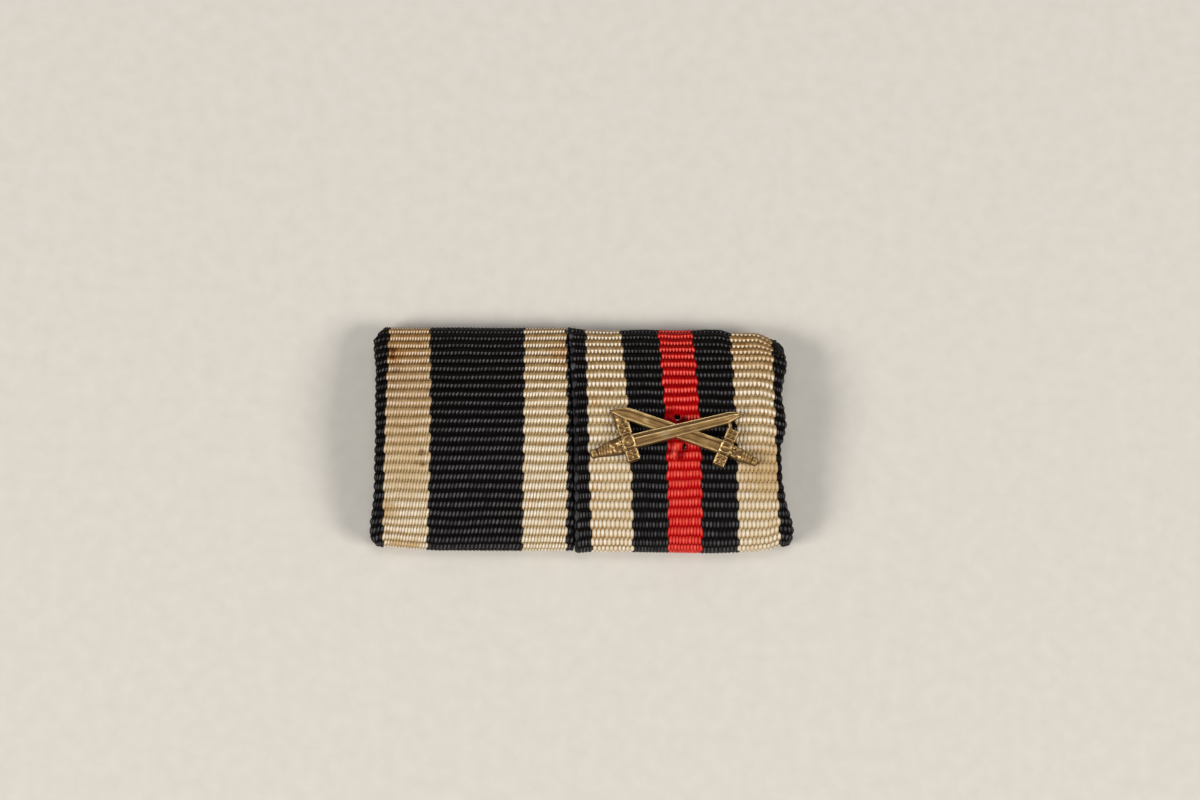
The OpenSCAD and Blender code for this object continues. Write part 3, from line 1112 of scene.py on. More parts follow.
    def build(self) -> Shell:
        """Puts the sword together, blade and hilt each turned to its tilt, in its place on the device.

        Returns:
            The whole sword's shell.
        """
        parts = []
        for shell, tilt in (
            (self._blade(), self.blade_tilt),
            (Shell.joined([self._guard(), self._grip(), self._beads()]), self.hilt_tilt),
        ):
            turn = math.radians(tilt)
            cos, sin = math.cos(turn), math.sin(turn)
            matrix = np.array([[self.hand * cos, -self.hand * sin, 0], [sin, cos, 0], [0, 0, 1]])
            parts.append(shell.moved(matrix, np.array([*self.place, 0])))
        return Shell.joined(parts)


@dataclass
class CrossedSwords:
    """The brass device: two swords, the cast necks that join them and two prongs behind the crossing.

    A neck is given by its two ends and its width. The worn value is found by smoothing the heights
    over and over, smoothings times.
    """

    section: BarSection
    smoothings: int = 45
    prong_x: float = 7.32
    prong_d: float = 0.4
    prong_pitch: float = 1.0
    prong_top: float = 0.2
    neck_h: float = 0.46
    necks: tuple[tuple[Pair, Pair, float], ...] = (
        ((10.8, -0.15), (10.62, 0.75), 0.3), ((3.0, 0.25), (2.75, 1.2), 1.0),
    )
    rear: Sword = Sword(
        place=(10.375, -1.286), hand=-1, blade_tilt=19.6, hilt_tilt=24.2, blade_len=8.76, blade_w=1.04,
        blade_tip_w=0.94, back_shoulder=1.4, edge_shoulder=1.3, tip_off=-0.2, hilt_len=2.55, height=0.52,
        bands=REAR_BANDS, grip_ws=(1.0, 0.98, 0.66),
    )
    front: Sword = Sword(
        place=(3.389, -0.879), hand=1, blade_tilt=13.9, hilt_tilt=17.4, blade_len=8.34, blade_w=1.06,
        blade_tip_w=0.78, back_shoulder=0.86, edge_shoulder=1.07, tip_off=0.02, hilt_len=2.9, height=0.76,
        bands=FRONT_BANDS, grip_ws=(1.4, 1.14, 0.7), guard_w=0.95,
    )

    def _neck(self, start: Pair, end: Pair, width: float) -> Shell:
        """A low cast neck: a flat-topped bar of section sqrt(1 - 0.96 q^4), lumpy and darker than the swords.

        Args:
            start: X and Y of its one end.
            end: X and Y of the other.
            width: its width.

        Returns:
            The neck's shell.
        """
        share, q = np.linspace(0, 1, 16)[:, None], np.linspace(-1, 1, 21)
        along = np.subtract(end, start) / np.hypot(*np.subtract(end, start))
        side = (-along[1], along[0])
        x, y = (start[i] + (end[i] - start[i]) * share + side[i] * q * width / 2 for i in (0, 1))
        lumps = value_noise(x * 5, y * 5, 12)
        z = self.neck_h * np.sqrt(1 - 0.96 * q**4) + 0.05 * lumps
        return footed(np.stack([x, y, z], axis=-1), 0.3 * lumps - 0.55)

    def _prong(self, x: float, foot: float) -> Shell:
        """A round prong down into the plate: rings at either end and a thinner one halfway.

        A ring is cos * side + sin * (along x side), with side square to the prong.

        Args:
            x: where it stands.
            foot: height of its lower end.

        Returns:
            The prong's shell.
        """
        start, end = np.array([x, 0, self.prong_top]), np.array([x, 0, foot])
        along = (end - start) / np.linalg.norm(end - start)
        side = np.cross(along, [0.31, 0.22, 0.92])
        side /= np.linalg.norm(side)
        angle = np.linspace(0, 2 * math.pi, 16, endpoint=False)[:, None]
        ring = self.prong_d / 2 * (np.cos(angle) * side + np.sin(angle) * np.cross(along, side))
        return tube(np.stack([start + ring, (start + end) / 2 + ring * 0.85, end + ring]))

    def build(self, material: bpy.types.Material) -> bpy.types.Object:
        """Makes the device, which stands for the crossed_swords solid.

        Args:
            material: the brass.

        Returns:
            The device's object.
        """
        section = self.section
        device_z = section.crown_z + section.gap
        foot = section.centre_z + section.camber_r + section.plate_t / 2 + section.gap - device_z
        shells = [self.rear.build(), self.front.build(), *(self._neck(*neck) for neck in self.necks)]
        shells += [self._prong(self.prong_x + hand * self.prong_pitch / 2, foot) for hand in (-1, 1)]
        shell = Shell.joined(shells).moved(np.eye(3), np.array([0, 0, device_z]))
        shell.values["worn"] = self._convexity(shell) + shell.values.pop("tone")
        piece = make_piece("crossed_swords_brass", shell, material)
        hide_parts("crossed_swords")
        return piece

    def _convexity(self, shell: Shell) -> Points:
        """How far each point stands above the mean of the points round it, in tenths of a millimetre.

        The mean is taken again and again over each point's neighbours along the faces' edges, so
        ridges come out positive and grooves negative.

        Args:
            shell: the device's shell.

        Returns:
            The value of each point.
        """
        quads = np.array([f for f in shell.faces if len(f) == 4])
        ends = np.concatenate([quads[:, [0, 1]], quads[:, [1, 2]], quads[:, [2, 3]], quads[:, [3, 0]]])
        ends = np.concatenate([ends, ends[:, ::-1]])
        size = len(shell.points)
        count = np.maximum(np.bincount(ends[:, 0], minlength=size), 1)
        height = wide = shell.points[:, 2]
        for _ in range(self.smoothings):
            wide = np.bincount(ends[:, 0], wide[ends[:, 1]], minlength=size) / count
        return (height - wide) / 0.1


Socket = bpy.types.NodeSocket
Term = Socket | float


class Wiring:
    """Places shader nodes in one tree and links them."""

    def __init__(self, tree: bpy.types.NodeTree) -> None:
        """Keeps the tree."""
        self.tree = tree

    def node(self, kind: str, **settings: object) -> bpy.types.Node:
        """Places a node.

        Args:
            kind: its type.
            settings: values for its properties, by name.

        Returns:
            The node.
        """
        made = self.tree.nodes.new(kind)
        for name, value in settings.items():
            setattr(made, name, value)
        return made

    def feed(self, socket: Socket, value: object) -> None:
        """Gives an input its value.

        Args:
            socket: the input.
            value: a socket to link it to, or a constant to set on it.
        """
        if isinstance(value, bpy.types.NodeSocket):
            self.tree.links.new(value, socket)
        else:
            socket.default_value = value

    def math(self, operation: str, *terms: Term, clamp: bool = False) -> Socket:
        """Works out one arithmetic operation.

        Args:
            operation: its name.
            terms: what it works on.
            clamp: whether the result is held between 0 and 1.

        Returns:
            The result.
        """
        made = self.node("ShaderNodeMath", operation=operation, use_clamp=clamp)
        for socket, term in zip(made.inputs, terms):
            self.feed(socket, term)
        return made.outputs[0]

    def plus(self, first: Term, second: Term) -> Socket:
        """The sum of two terms."""
        return self.math("ADD", first, second)

    def minus(self, first: Term, second: Term) -> Socket:
        """The first term less the second."""
        return self.math("SUBTRACT", first, second)

    def times(self, first: Term, second: Term) -> Socket:
        """The product of two terms."""
        return self.math("MULTIPLY", first, second)

    def magnitude(self, term: Term) -> Socket:
        """A term without its sign."""
        return self.math("ABSOLUTE", term)

    def blend(self, share: Term, first: object, second: object, mode: str = "MIX") -> Socket:
        """Mixes two colours.

        Args:
            share: how much of the second there is.
            first: the colour at 0.
            second: the colour at 1.
            mode: how the second one is laid over the first.

        Returns:
            The colour.
        """
        made = self.node("ShaderNodeMix", data_type="RGBA", blend_type=mode, clamp_factor=True)
        for place, value in ((0, share), (6, first), (7, second)):
            self.feed(made.inputs[place], value)
        return made.outputs[2]

    def tinted(self, share: Term, colour: Socket, tint: Colour) -> Socket:
        """A colour multiplied by a tint, as far as share says."""
        return self.blend(share, colour, self.blend(1.0, colour, tint, "MULTIPLY"))

    def choose(self, share: Term, first: Term, second: Term) -> Socket:
        """Mixes two values.

        Args:
            share: how much of the second there is.
            first: the value at 0.
            second: the value at 1.

        Returns:
            The value.
        """
        made = self.node("ShaderNodeMix", data_type="FLOAT", clamp_factor=True)
        for place, value in ((0, share), (2, first), (3, second)):
            self.feed(made.inputs[place], value)
        return made.outputs[0]

    def remap(self, value: Term, low: float, high: float, to_low: Term = 0, to_high: Term = 1) -> Socket:
        """Stretches a value smoothly from one range to another, and holds it at the range's ends.

        Args:
            value: what is stretched.
            low: start of its range.
            high: end of its range.
            to_low: the result at low.
            to_high: the result at high.

        Returns:
            The result.
        """
        made = self.node("ShaderNodeMapRange", interpolation_type="SMOOTHSTEP")
        for socket, term in zip(made.inputs, (value, low, high, to_low, to_high)):
            self.feed(socket, term)
        return made.outputs[0]

    def steps(self, value: Term, stops: list[tuple[float, Colour]]) -> Socket:
        """Reads a colour off a ramp without blending.

        Args:
            value: where it is read.
            stops: the place from which each colour holds, and the colour.

        Returns:
            The colour.
        """
        made = self.node("ShaderNodeValToRGB")
        made.color_ramp.interpolation = "CONSTANT"
        elements = made.color_ramp.elements
        while len(elements) < len(stops):
            elements.new(0.5)
        for element, (place, colour) in zip(elements, stops):
            element.position, element.color = place, colour
        self.feed(made.inputs[0], value)
        return made.outputs[0]

    def noise(self, vector: Socket, scale: float, detail: float = 2, roughness: float = 0.5) -> Socket:
        """Reads a noise texture.

        Args:
            vector: where it is read.
            scale: cells to a unit of the vector.
            detail: number of finer layers.
            roughness: how strong each is against the one before.

        Returns:
            The value, from 0 to 1.
        """
        made = self.node("ShaderNodeTexNoise")
        inputs = {"Vector": vector, "Scale": scale, "Detail": detail, "Roughness": roughness}
        for title, value in inputs.items():
            self.feed(made.inputs[title], value)
        return made.outputs["Fac"]

    def scaled(self, vector: Socket, factors: Triple) -> Socket:
        """Multiplies a vector axis by axis.

        Args:
            vector: the vector.
            factors: one for each axis.

        Returns:
            The vector.
        """
        made = self.node("ShaderNodeVectorMath", operation="MULTIPLY")
        self.feed(made.inputs[0], vector)
        self.feed(made.inputs[1], factors)
        return made.outputs[0]

    def bump(self, height: Socket, strength: float, distance: float) -> Socket:
        """Turns a height into a normal.

        Args:
            height: the height.
            strength: share of its effect.
            distance: metres to a unit of the height.

        Returns:
            The normal.
        """
        made = self.node("ShaderNodeBump")
        for title, value in {"Strength": strength, "Distance": distance, "Height": height}.items():
            self.feed(made.inputs[title], value)
        return made.outputs[0]

    def object_place(self) -> Socket:
        """Where a point lies in its object, in metres."""
        return self.node("ShaderNodeTexCoord").outputs["Object"]

    def group(self, tree: bpy.types.NodeTree, **inputs: object) -> bpy.types.Node:
        """Places a node that runs a group.

        Args:
            tree: the group.
            inputs: values for its inputs, by name.

        Returns:
            The node.
        """
        made = self.node("ShaderNodeGroup", node_tree=tree)
        for name, value in inputs.items():
            self.feed(made.inputs[name], value)
        return made


class EffectGroup:
    """A shader node group with named inputs and outputs, made once and used by several finishes."""

    def __init__(self, name: str, inputs: dict[str, object], outputs: tuple[str, ...]) -> None:
        """Makes the group's sockets.

        Args:
            name: the group's name.
            inputs: a default number for each value input, or None for a vector.
            outputs: names of the value outputs.
        """
        self.tree = bpy.data.node_groups.new(name, "ShaderNodeTree")
        for title, default in inputs.items():
            kind = "NodeSocketVector" if default is None else "NodeSocketFloat"
            socket = self.tree.interface.new_socket(title, in_out="INPUT", socket_type=kind)
            if default is not None:
                socket.default_value = default
        for title in outputs:
            self.tree.interface.new_socket(title, in_out="OUTPUT", socket_type="NodeSocketFloat")
        self.wires = Wiring(self.tree)
        self.given = self.wires.node("NodeGroupInput").outputs
        self.results = self.wires.node("NodeGroupOutput").inputs


def woven_floats(shape: FloatShape) -> bpy.types.NodeTree:
    """Makes the group that finds the float at a point of the weave, by the rule of FloatShape.relief.

    Args:
        shape: the float's shape.

    Returns:
        The group. Weave holds floats across and ribs along. Middle and Rib name the float, Offset runs
        from -1 at its left flank over 0 on its middle to 1, Along is the distance up from the rib's
        crest in ribs and Depth the depth below the crests in millimetres.
    """
    titles = ("Middle", "Rib", "Depth", "Offset", "Along")
    made = EffectGroup("woven_floats", {"Weave": None, "Slant": 0.0}, titles)
    w = made.wires
    split = w.node("ShaderNodeSeparateXYZ")
    w.feed(split.inputs[0], made.given["Weave"])
    u, v = split.outputs[0], split.outputs[1]
    below = w.math("FLOOR", v)
    found = []
    for rib in (below, w.plus(below, 1)):
        t = w.minus(v, rib)
        shift = w.times(w.math("FLOORED_MODULO", rib, 2), 0.5)
        across = w.minus(u, w.times(t, made.given["Slant"]))
        middle = w.plus(w.math("ROUND", w.minus(across, shift)), shift)
        swell = w.times(w.math("COSINE", w.times(t, 0.5 * math.pi / shape.tip_reach)), shape.fullness)
        width = w.math("MINIMUM", w.math("MAXIMUM", swell, shape.least_width), 1)
        side = w.math("DIVIDE", w.times(w.minus(across, middle), 2), width)
        fall = w.times(w.math("POWER", w.magnitude(w.times(t, 2)), shape.fall_power), shape.fall)
        depth = w.plus(fall, w.times(w.times(side, side), shape.roundness))
        found.append((middle, rib, w.math("MINIMUM", depth, shape.floor), side, t))
    second = w.math("LESS_THAN", found[1][2], found[0][2])
    for title, first, other in zip(titles, *found):
        w.feed(made.results[title], w.choose(second, first, other))
    return made.tree


def round_spot() -> bpy.types.NodeTree:
    """Makes the group that masks a soft ragged spot: 1 in its middle, 0 from its radius on.

    The mask falls with the distance over the radius, which noise shifts by up to half of ragged.

    Returns:
        The group.
    """
    noise_scale, ragged = 2200, 0.9
    made = EffectGroup("round_spot", {"Place": None, "Middle": None, "Radius": 0.001}, ("Mask",))
    w = made.wires
    away = w.node("ShaderNodeVectorMath", operation="DISTANCE")
    w.feed(away.inputs[0], made.given["Place"])
    w.feed(away.inputs[1], made.given["Middle"])
    share = w.math("DIVIDE", away.outputs["Value"], made.given["Radius"])
    wobble = w.times(w.minus(w.noise(made.given["Place"], noise_scale), 0.5), ragged)
    w.feed(made.results["Mask"], w.remap(w.plus(share, wobble), 1.2, 0.3))
    return made.tree


def metal_grain() -> bpy.types.NodeTree:
    """Makes the group for metal: Blotch is cloudy tarnish, Pits fine specks, Scratches thin lines.

    Each is a noise of its own scale, stretched between two of its values; the scratches' is drawn
    out along X.

    Returns:
        The group.
    """
    blotch_scale, pit_scale, scratch_scale = 900, 9000, 14000
    made = EffectGroup("metal_grain", {"Place": None, "Scale": 1.0}, ("Blotch", "Pits", "Scratches"))
    w = made.wires
    place = w.node("ShaderNodeVectorMath", operation="SCALE")
    w.feed(place.inputs[0], made.given["Place"])
    w.feed(place.inputs["Scale"], made.given["Scale"])
    place = place.outputs[0]
    drawn = w.scaled(place, (0.12, 1, 1))
    w.feed(made.results["Blotch"], w.remap(w.noise(place, blotch_scale, 4, 0.6), 0.3, 0.7))
    w.feed(made.results["Pits"], w.remap(w.noise(place, pit_scale, 3, 0.6), 0.52, 0.75))
    w.feed(made.results["Scratches"], w.remap(w.noise(drawn, scratch_scale, 2, 0.7), 0.45, 0.8))
    return made.tree


def principled(material: bpy.types.Material, constants: dict[str, object]) -> tuple[Wiring, bpy.types.Node]:
    """Gives a material its shader.

    Args:
        material: the material.
        constants: values that are set on the shader's sockets, by name.

    Returns:
        The wiring of the material's tree, and the shader.
    """
    material.use_nodes = True
    tree = material.node_tree
    tree.nodes.clear()
    wires = Wiring(tree)
    shader = wires.node("ShaderNodeBsdfPrincipled")
    for name, value in constants.items():
        shader.inputs[name].default_value = value
    out = wires.node("ShaderNodeOutputMaterial")
    tree.links.new(shader.outputs[0], out.inputs["Surface"])
    return wires, shader


# Tints of the spots: RUST, AMBER, BROWN and TAN are stains and age, SHADE is painted shade.
RUST = (0.34, 0.15, 0.03, 1)
AMBER = (0.85, 0.58, 0.28, 1)
BROWN = (0.78, 0.62, 0.5, 1)
SHADE = (0.1, 0.04, 0.04, 1)
TAN = (0.85, 0.62, 0.36, 1)


@dataclass(frozen=True)
class StainAndPaintedLight:
    """A spot on the bar's face: middle, radius, strength and colour, a stain's tint or painted shade.

    dulling is how much painted highlight it takes away from the silk, or adds where it is negative.
    """

    x: float
    y: float
    radius: float
    strength: float
    colour: Colour = RUST
    dulling: float = 0.0


@dataclass(frozen=True)
class YarnFinish:
    """One yarn: its painted highlight colour where a float is lit, its colour elsewhere on it, its painted
    shade colour in the gaps, and its gloss.

    fineness narrows the painted highlight on a float, and unevenness is how much it differs between floats.
    """

    light: Colour
    flank: Colour
    gap: Colour
    gloss: float
    fineness: float
    unevenness: float


@dataclass(frozen=True)
class ClothPoint:
    """What a ribbon's material knows of a point, as sockets that several of its methods use.

    With them go the wiring w, the ribbon, and the group spot that masks a stain or a spot of painted
    light. found holds the outputs of woven_floats, share is the float's place across the ribbon from 0 to 1,
    and height the point's Y. odd differs from float to float, cloud from place to place, and wear along the
    warp too, each round 0.
    """

    w: Wiring
    ribbon: WovenRibbon
    spot: bpy.types.NodeTree
    weave: Socket
    place: Socket
    found: bpy.types.NodeOutputs
    share: Socket
    height: Socket
    odd: Socket
    cloud: Socket
    wear: Socket

    def by_height(self, heights: Pair, low: float, high: float) -> Socket:
        """A value that runs smoothly from low at the lower height to high at the upper one."""
        return self.w.remap(self.height, *(y * MM for y in heights), low, high)


@dataclass(frozen=True)
class RibbonFinish:
    """Silk-faced ribbed ribbon: a colour for each stripe, painted shade in the gaps between floats, age, rust
    and other stained spots, and spots of painted light.

    A painted highlight lies on the part of each float that faces forwards, where the lamps would glance off
    the silk: low on the ribs near the top edge and a little above their crests near the bottom edge.
    band_rise tells how far that part climbs, in ribs for each millimetre downwards; band_spans gives its half
    width near the bottom edge and near the top one, and lit_shares how bright it is there. twist leans that
    part over, in half floats for each rib near the top edge. taper narrows its lower end and widens its upper
    one, by a factor that is never under least_factor. gap_share is how dark the painted shade at the ends of
    the gaps between floats is in the lower half. Spans, shares, twist and gaps change between the two heights
    of the same name.
    On the selvages' broad strands the painted highlight has strand_fineness and strand_share.
    """

    yarns: dict[Yarn, YarnFinish]
    stains_and_painted_light: tuple[StainAndPaintedLight, ...]
    band_middle: float = -0.13
    band_rise: float = 0.033
    band_spans: Pair = (0.36, 0.2)
    lit_shares: Pair = (0.75, 1.15)
    twist: float = 0.0
    taper: float = 1.3
    gap_share: float = 0.95
    roughness: float = 0.5
    # Tint of the painted shade and soiling that darken the floats towards the top edge, where the face turns
    # from the lamps.
    top_shade_and_soil: Colour = (0.64, 0.53, 0.38, 1)

    # Heights in millimetres between which a value changes, and shares of it.
    band_heights: Pair = (-3.5, 2.5)
    lit_heights: Pair = (-5.0, 5.0)
    twist_heights: Pair = (-6.0, 2.0)
    low_twist_share: float = 0.3
    # Painted shade at the gaps' ends: less of it towards the top edge.
    gap_shade_heights: Pair = (-1.0, 4.0)
    high_gap_share: float = 0.3
    top_shade_and_soil_heights: Pair = (-1.0, 8.6)
    # The taper's least factor, and what differs on the broad strands and under a spot that adds painted
    # highlight.
    least_factor: float = 0.6
    broad_strand: float = 0.3
    strand_reach: float = 0.9
    strand_fineness: float = 0.5
    strand_share: float = 0.5
    raised_share: float = 0.8
    # Age, the yarn's own relief, and the gloss that is the same all over.
    wear_share: float = 0.9
    cloud_scale: int = 330
    yarn_h: float = 0.02
    coat_roughness: float = 0.28
    specular: float = 0.06

    def _point(
        self, w: Wiring, ribbon: WovenRibbon, floats: bpy.types.NodeTree, spot: bpy.types.NodeTree
    ) -> ClothPoint:
        """Places the nodes that several parts of the material read.

        Args:
            w: the material's wiring.
            ribbon: whose material it is.
            floats: the group that finds floats.
            spot: the group that masks a stain or a spot of painted light.

        Returns:
            Their sockets.
        """
        weave = w.node("ShaderNodeUVMap", uv_map="weave").outputs[0]
        place = w.object_place()
        found = w.group(floats, Weave=weave, Slant=ribbon.slant).outputs
        name = w.node("ShaderNodeCombineXYZ")
        w.feed(name.inputs[0], found["Middle"])
        w.feed(name.inputs[1], found["Rib"])
        each = w.node("ShaderNodeTexWhiteNoise", noise_dimensions="2D")
        w.feed(each.inputs["Vector"], name.outputs[0])
        streak = w.minus(w.noise(w.scaled(weave, (0.55, 0.05, 0)), 1.0, 3), 0.5)
        cloud = w.minus(w.noise(place, self.cloud_scale, 3), 0.5)
        split = w.node("ShaderNodeSeparateXYZ")
        w.feed(split.inputs[0], place)
        return ClothPoint(
            w=w, ribbon=ribbon, spot=spot, weave=weave, place=place, found=found,
            share=w.math("DIVIDE", found["Middle"], ribbon.floats), height=split.outputs[1],
            odd=w.minus(each.outputs["Value"], 0.5), cloud=cloud, wear=w.plus(streak, cloud),
        )

    def _yarn(self, at: ClothPoint, title: str) -> Socket:
        """Reads one of the yarns' values at a point's float, stripe by stripe.

        Args:
            at: the point.
            title: the value's name in YarnFinish.

        Returns:
            The colour, or the number as a grey.
        """
        ends = np.cumsum([0] + [s.floats for s in at.ribbon.stripes]) / at.ribbon.floats
        stops = []
        for start, stripe in zip(ends, at.ribbon.stripes):
            value = getattr(self.yarns[stripe.yarn], title)
            stops.append((float(start), value if isinstance(value, tuple) else (value, value, value, 1)))
        return at.w.steps(at.share, stops)

    def _strands(self, at: ClothPoint) -> Term:
        """Masks the broad strands that lie along the ribbon's selvages.

        Args:
            at: the point.

        Returns:
            1 on them and 0 elsewhere.
        """
        last = at.ribbon.floats - self.strand_reach
        mask: Term = 0.0
        for edge, operation, place in (
            (at.ribbon.left, "LESS_THAN", self.strand_reach), (at.ribbon.right, "GREATER_THAN", last)
        ):
            if edge.strand > self.broad_strand:
                mask = at.w.math("MAXIMUM", mask, at.w.math(operation, at.found["Middle"], place))
        return mask

    def _stain_and_light_mask(self, at: ClothPoint, stain: StainAndPaintedLight, strength: float) -> Socket:
        """Masks one stain or spot of painted light, which stands at its height on the ribbon's face.

        Args:
            at: the point.
            stain: the stain or spot of painted light.
            strength: the mask's value in the stain's middle.

        Returns:
            The mask.
        """
        section = at.ribbon.section
        y, z = section.place(np.array([section.length_at(stain.y)]), np.array([section.reach]))
        middle = (stain.x * MM, float(y[0]) * MM, float(z[0]) * MM)
        mask = at.w.group(at.spot, Place=at.place, Middle=middle, Radius=stain.radius * MM).outputs[0]
        return at.w.times(mask, strength)

    def _painted_highlight(self, at: ClothPoint) -> Socket:
        """How much painted highlight a float gets.

        It is a band along the rib times a core across the float, each falling smoothly from 1. The
        band's middle climbs with the height and the core leans with the distance from that middle.

        Args:
            at: the point.

        Returns:
            The share, past 1 where the silk is brightest.
        """
        w, found = at.w, at.found
        rise = w.math("MULTIPLY_ADD", at.height, -self.band_rise / MM, self.band_middle)
        above = w.minus(found["Along"], rise)
        strands = self._strands(at)
        fineness = w.choose(strands, self._yarn(at, "fineness"), self.strand_fineness)
        half = at.by_height(self.band_heights, *self.band_spans)
        band = w.remap(w.times(w.math("DIVIDE", w.magnitude(above), half), fineness), 1.45, 0.55)
        narrow = w.math("MAXIMUM", w.math("MULTIPLY_ADD", above, -self.taper, 1.0), self.least_factor)
        twist = at.by_height(self.twist_heights, -self.low_twist_share * self.twist, -self.twist)
        leaning = w.magnitude(w.math("MULTIPLY_ADD", above, twist, found["Offset"]))
        core = w.remap(w.times(leaning, w.times(fineness, narrow)), 0.95, 0.3)
        lit = w.times(w.times(core, band), at.by_height(self.lit_heights, *self.lit_shares))
        lit = w.times(lit, w.choose(strands, 1.0, self.strand_share))
        # Spots take painted highlight away, or add it where their dulling is negative.
        for stain in self.stains_and_painted_light:
            if stain.dulling:
                mask = self._stain_and_light_mask(at, stain, abs(stain.dulling))
                lit = w.choose(mask, lit, 0.0 if stain.dulling > 0 else self.raised_share)
        uneven = w.times(at.odd, self._yarn(at, "unevenness"))
        return w.times(lit, w.plus(w.plus(uneven, w.times(at.wear, self.wear_share)), 1.0))

    def _flank(self, at: ClothPoint) -> Socket:
        """The floats' colour beside their painted highlight, darkened towards the top edge by painted shade
        and soiling, and yellowed in places.

        Args:
            at: the point.

        Returns:
            The colour.
        """
        w = at.w
        odd = w.times(w.plus(w.times(at.wear, self.wear_share), at.odd), 0.6)
        # Painted shade and soiling that grow towards the top edge.
        shaded_and_soiled = w.plus(at.by_height(self.top_shade_and_soil_heights, 0, 1), odd)
        yellowed = w.remap(at.wear, 0.0, 0.45, 0.0, 0.9)
        return w.tinted(yellowed, w.tinted(shaded_and_soiled, self._yarn(at, "flank"), self.top_shade_and_soil), TAN)

    def _gap_shade(self, at: ClothPoint) -> Socket:
        """How much painted shade the gaps get: those between two floats of a rib, or, where that is more,
        their ends.

        Args:
            at: the point.

        Returns:
            The share of the yarn's painted shade colour for gaps.
        """
        w, found = at.w, at.found
        between = w.remap(w.magnitude(found["Offset"]), 0.78, 1.02)
        between = w.times(between, w.remap(w.magnitude(found["Along"]), 0.0, 0.3, 0.4, 0.65))
        ends = at.by_height(self.gap_shade_heights, self.gap_share, self.gap_share * self.high_gap_share)
        return w.math("MAXIMUM", between, w.times(w.remap(found["Depth"], 0.145, 0.2), ends))

    def material(
        self, ribbon: WovenRibbon, floats: bpy.types.NodeTree, spot: bpy.types.NodeTree
    ) -> bpy.types.Material:
        """Makes the ribbon's material.

        Args:
            ribbon: whose stripes it colours.
            floats: the group that finds floats.
            spot: the group that masks a stain or a spot of painted light.

        Returns:
            The material, which reads the weave map and Object coordinates.
        """
        made = bpy.data.materials.new(f"{ribbon.name}_weave")
        constants = {"Coat Roughness": self.coat_roughness, "Specular IOR Level": self.specular}
        w, shader = principled(made, constants)
        at = self._point(w, ribbon, floats, spot)
        lit = self._painted_highlight(at)
        # Painted highlight: the yarn's light colour laid over its flank colour where the float counts as lit.
        colour = w.blend(lit, self._flank(at), self._yarn(at, "light"))
        # Painted shade in the gaps between floats and at their ends, where real shade falls.
        colour = w.blend(self._gap_shade(at), colour, self._yarn(at, "gap"))
        # Stained spots, and spots of painted shade round the punctures.
        for stain in self.stains_and_painted_light:
            colour = w.tinted(self._stain_and_light_mask(at, stain, stain.strength), colour, stain.colour)
        shine = w.times(self._yarn(at, "gloss"), lit)
        yarns = w.times(w.noise(w.scaled(at.weave, (7, 1.3, 0)), 1.0, 2), self.yarn_h)
        w.feed(shader.inputs["Base Color"], colour)
        w.feed(shader.inputs["Coat Weight"], w.math("MULTIPLY", shine, w.plus(at.odd, 0.8), clamp=True))
        w.feed(shader.inputs["Roughness"], w.plus(self.roughness, w.times(at.cloud, 0.1)))
        w.feed(shader.inputs["Normal"], w.bump(w.minus(yarns, at.found["Depth"]), 0.5, MM))
        return made


@dataclass(frozen=True)
class BrassFinish:
    """Toned brass: brown in the recesses, worn to a pale yellow on the high parts.

    bare is the grey of a rubbed patch on the front blade. Its place is given from the cloth's crown.
    """

    bright: Colour = (0.58, 0.41, 0.19, 1)
    toned: Colour = (0.27, 0.16, 0.058, 1)
    dark: Colour = (0.14, 0.074, 0.026, 1)
    bare: Colour = (0.25, 0.23, 0.16, 1)
    bare_place: Triple = (6.12, -0.36, 0.85)
    bare_radius: float = 0.34
    bare_share: float = 0.45
    blotch_share: float = 0.25
    relief: float = 0.02

    def material(
        self, crown_z: float, grain: bpy.types.NodeTree, spot: bpy.types.NodeTree
    ) -> bpy.types.Material:
        """Makes the brass, which reads the device's worn attribute and Object coordinates.

        Args:
            crown_z: the height of the cloth's crown.
            grain: the group that gives metal its marks.
            spot: the group that masks the bare patch.

        Returns:
            The material.
        """
        made = bpy.data.materials.new("toned_brass")
        w, shader = principled(made, {"Specular IOR Level": 0.5})
        place = w.object_place()
        worn = w.node("ShaderNodeAttribute", attribute_name="worn").outputs["Fac"]
        marks = w.group(grain, Place=place, Scale=1.0).outputs
        level = w.plus(worn, w.times(w.minus(marks["Blotch"], 0.5), self.blotch_share))
        colour = w.blend(w.remap(level, -0.45, 0.0), self.dark, self.toned)
        colour = w.blend(w.remap(level, 0.0, 0.55), colour, self.bright)
        x, y, z = self.bare_place
        middle = (x * MM, y * MM, (crown_z + z) * MM)
        bare = w.group(spot, Place=place, Middle=middle, Radius=self.bare_radius * MM).outputs[0]
        colour = w.blend(w.times(bare, self.bare_share), colour, self.bare)
        height = w.minus(marks["Blotch"], w.times(marks["Pits"], 0.8))
        w.feed(shader.inputs["Base Color"], colour)
        w.feed(shader.inputs["Metallic"], w.remap(level, -0.5, 0.0, 0.7, 0.92))
        w.feed(shader.inputs["Roughness"], w.remap(level, -0.3, 0.5, 0.58, 0.42))
        w.feed(shader.inputs["Normal"], w.bump(height, 0.35, self.relief * MM))
        return made


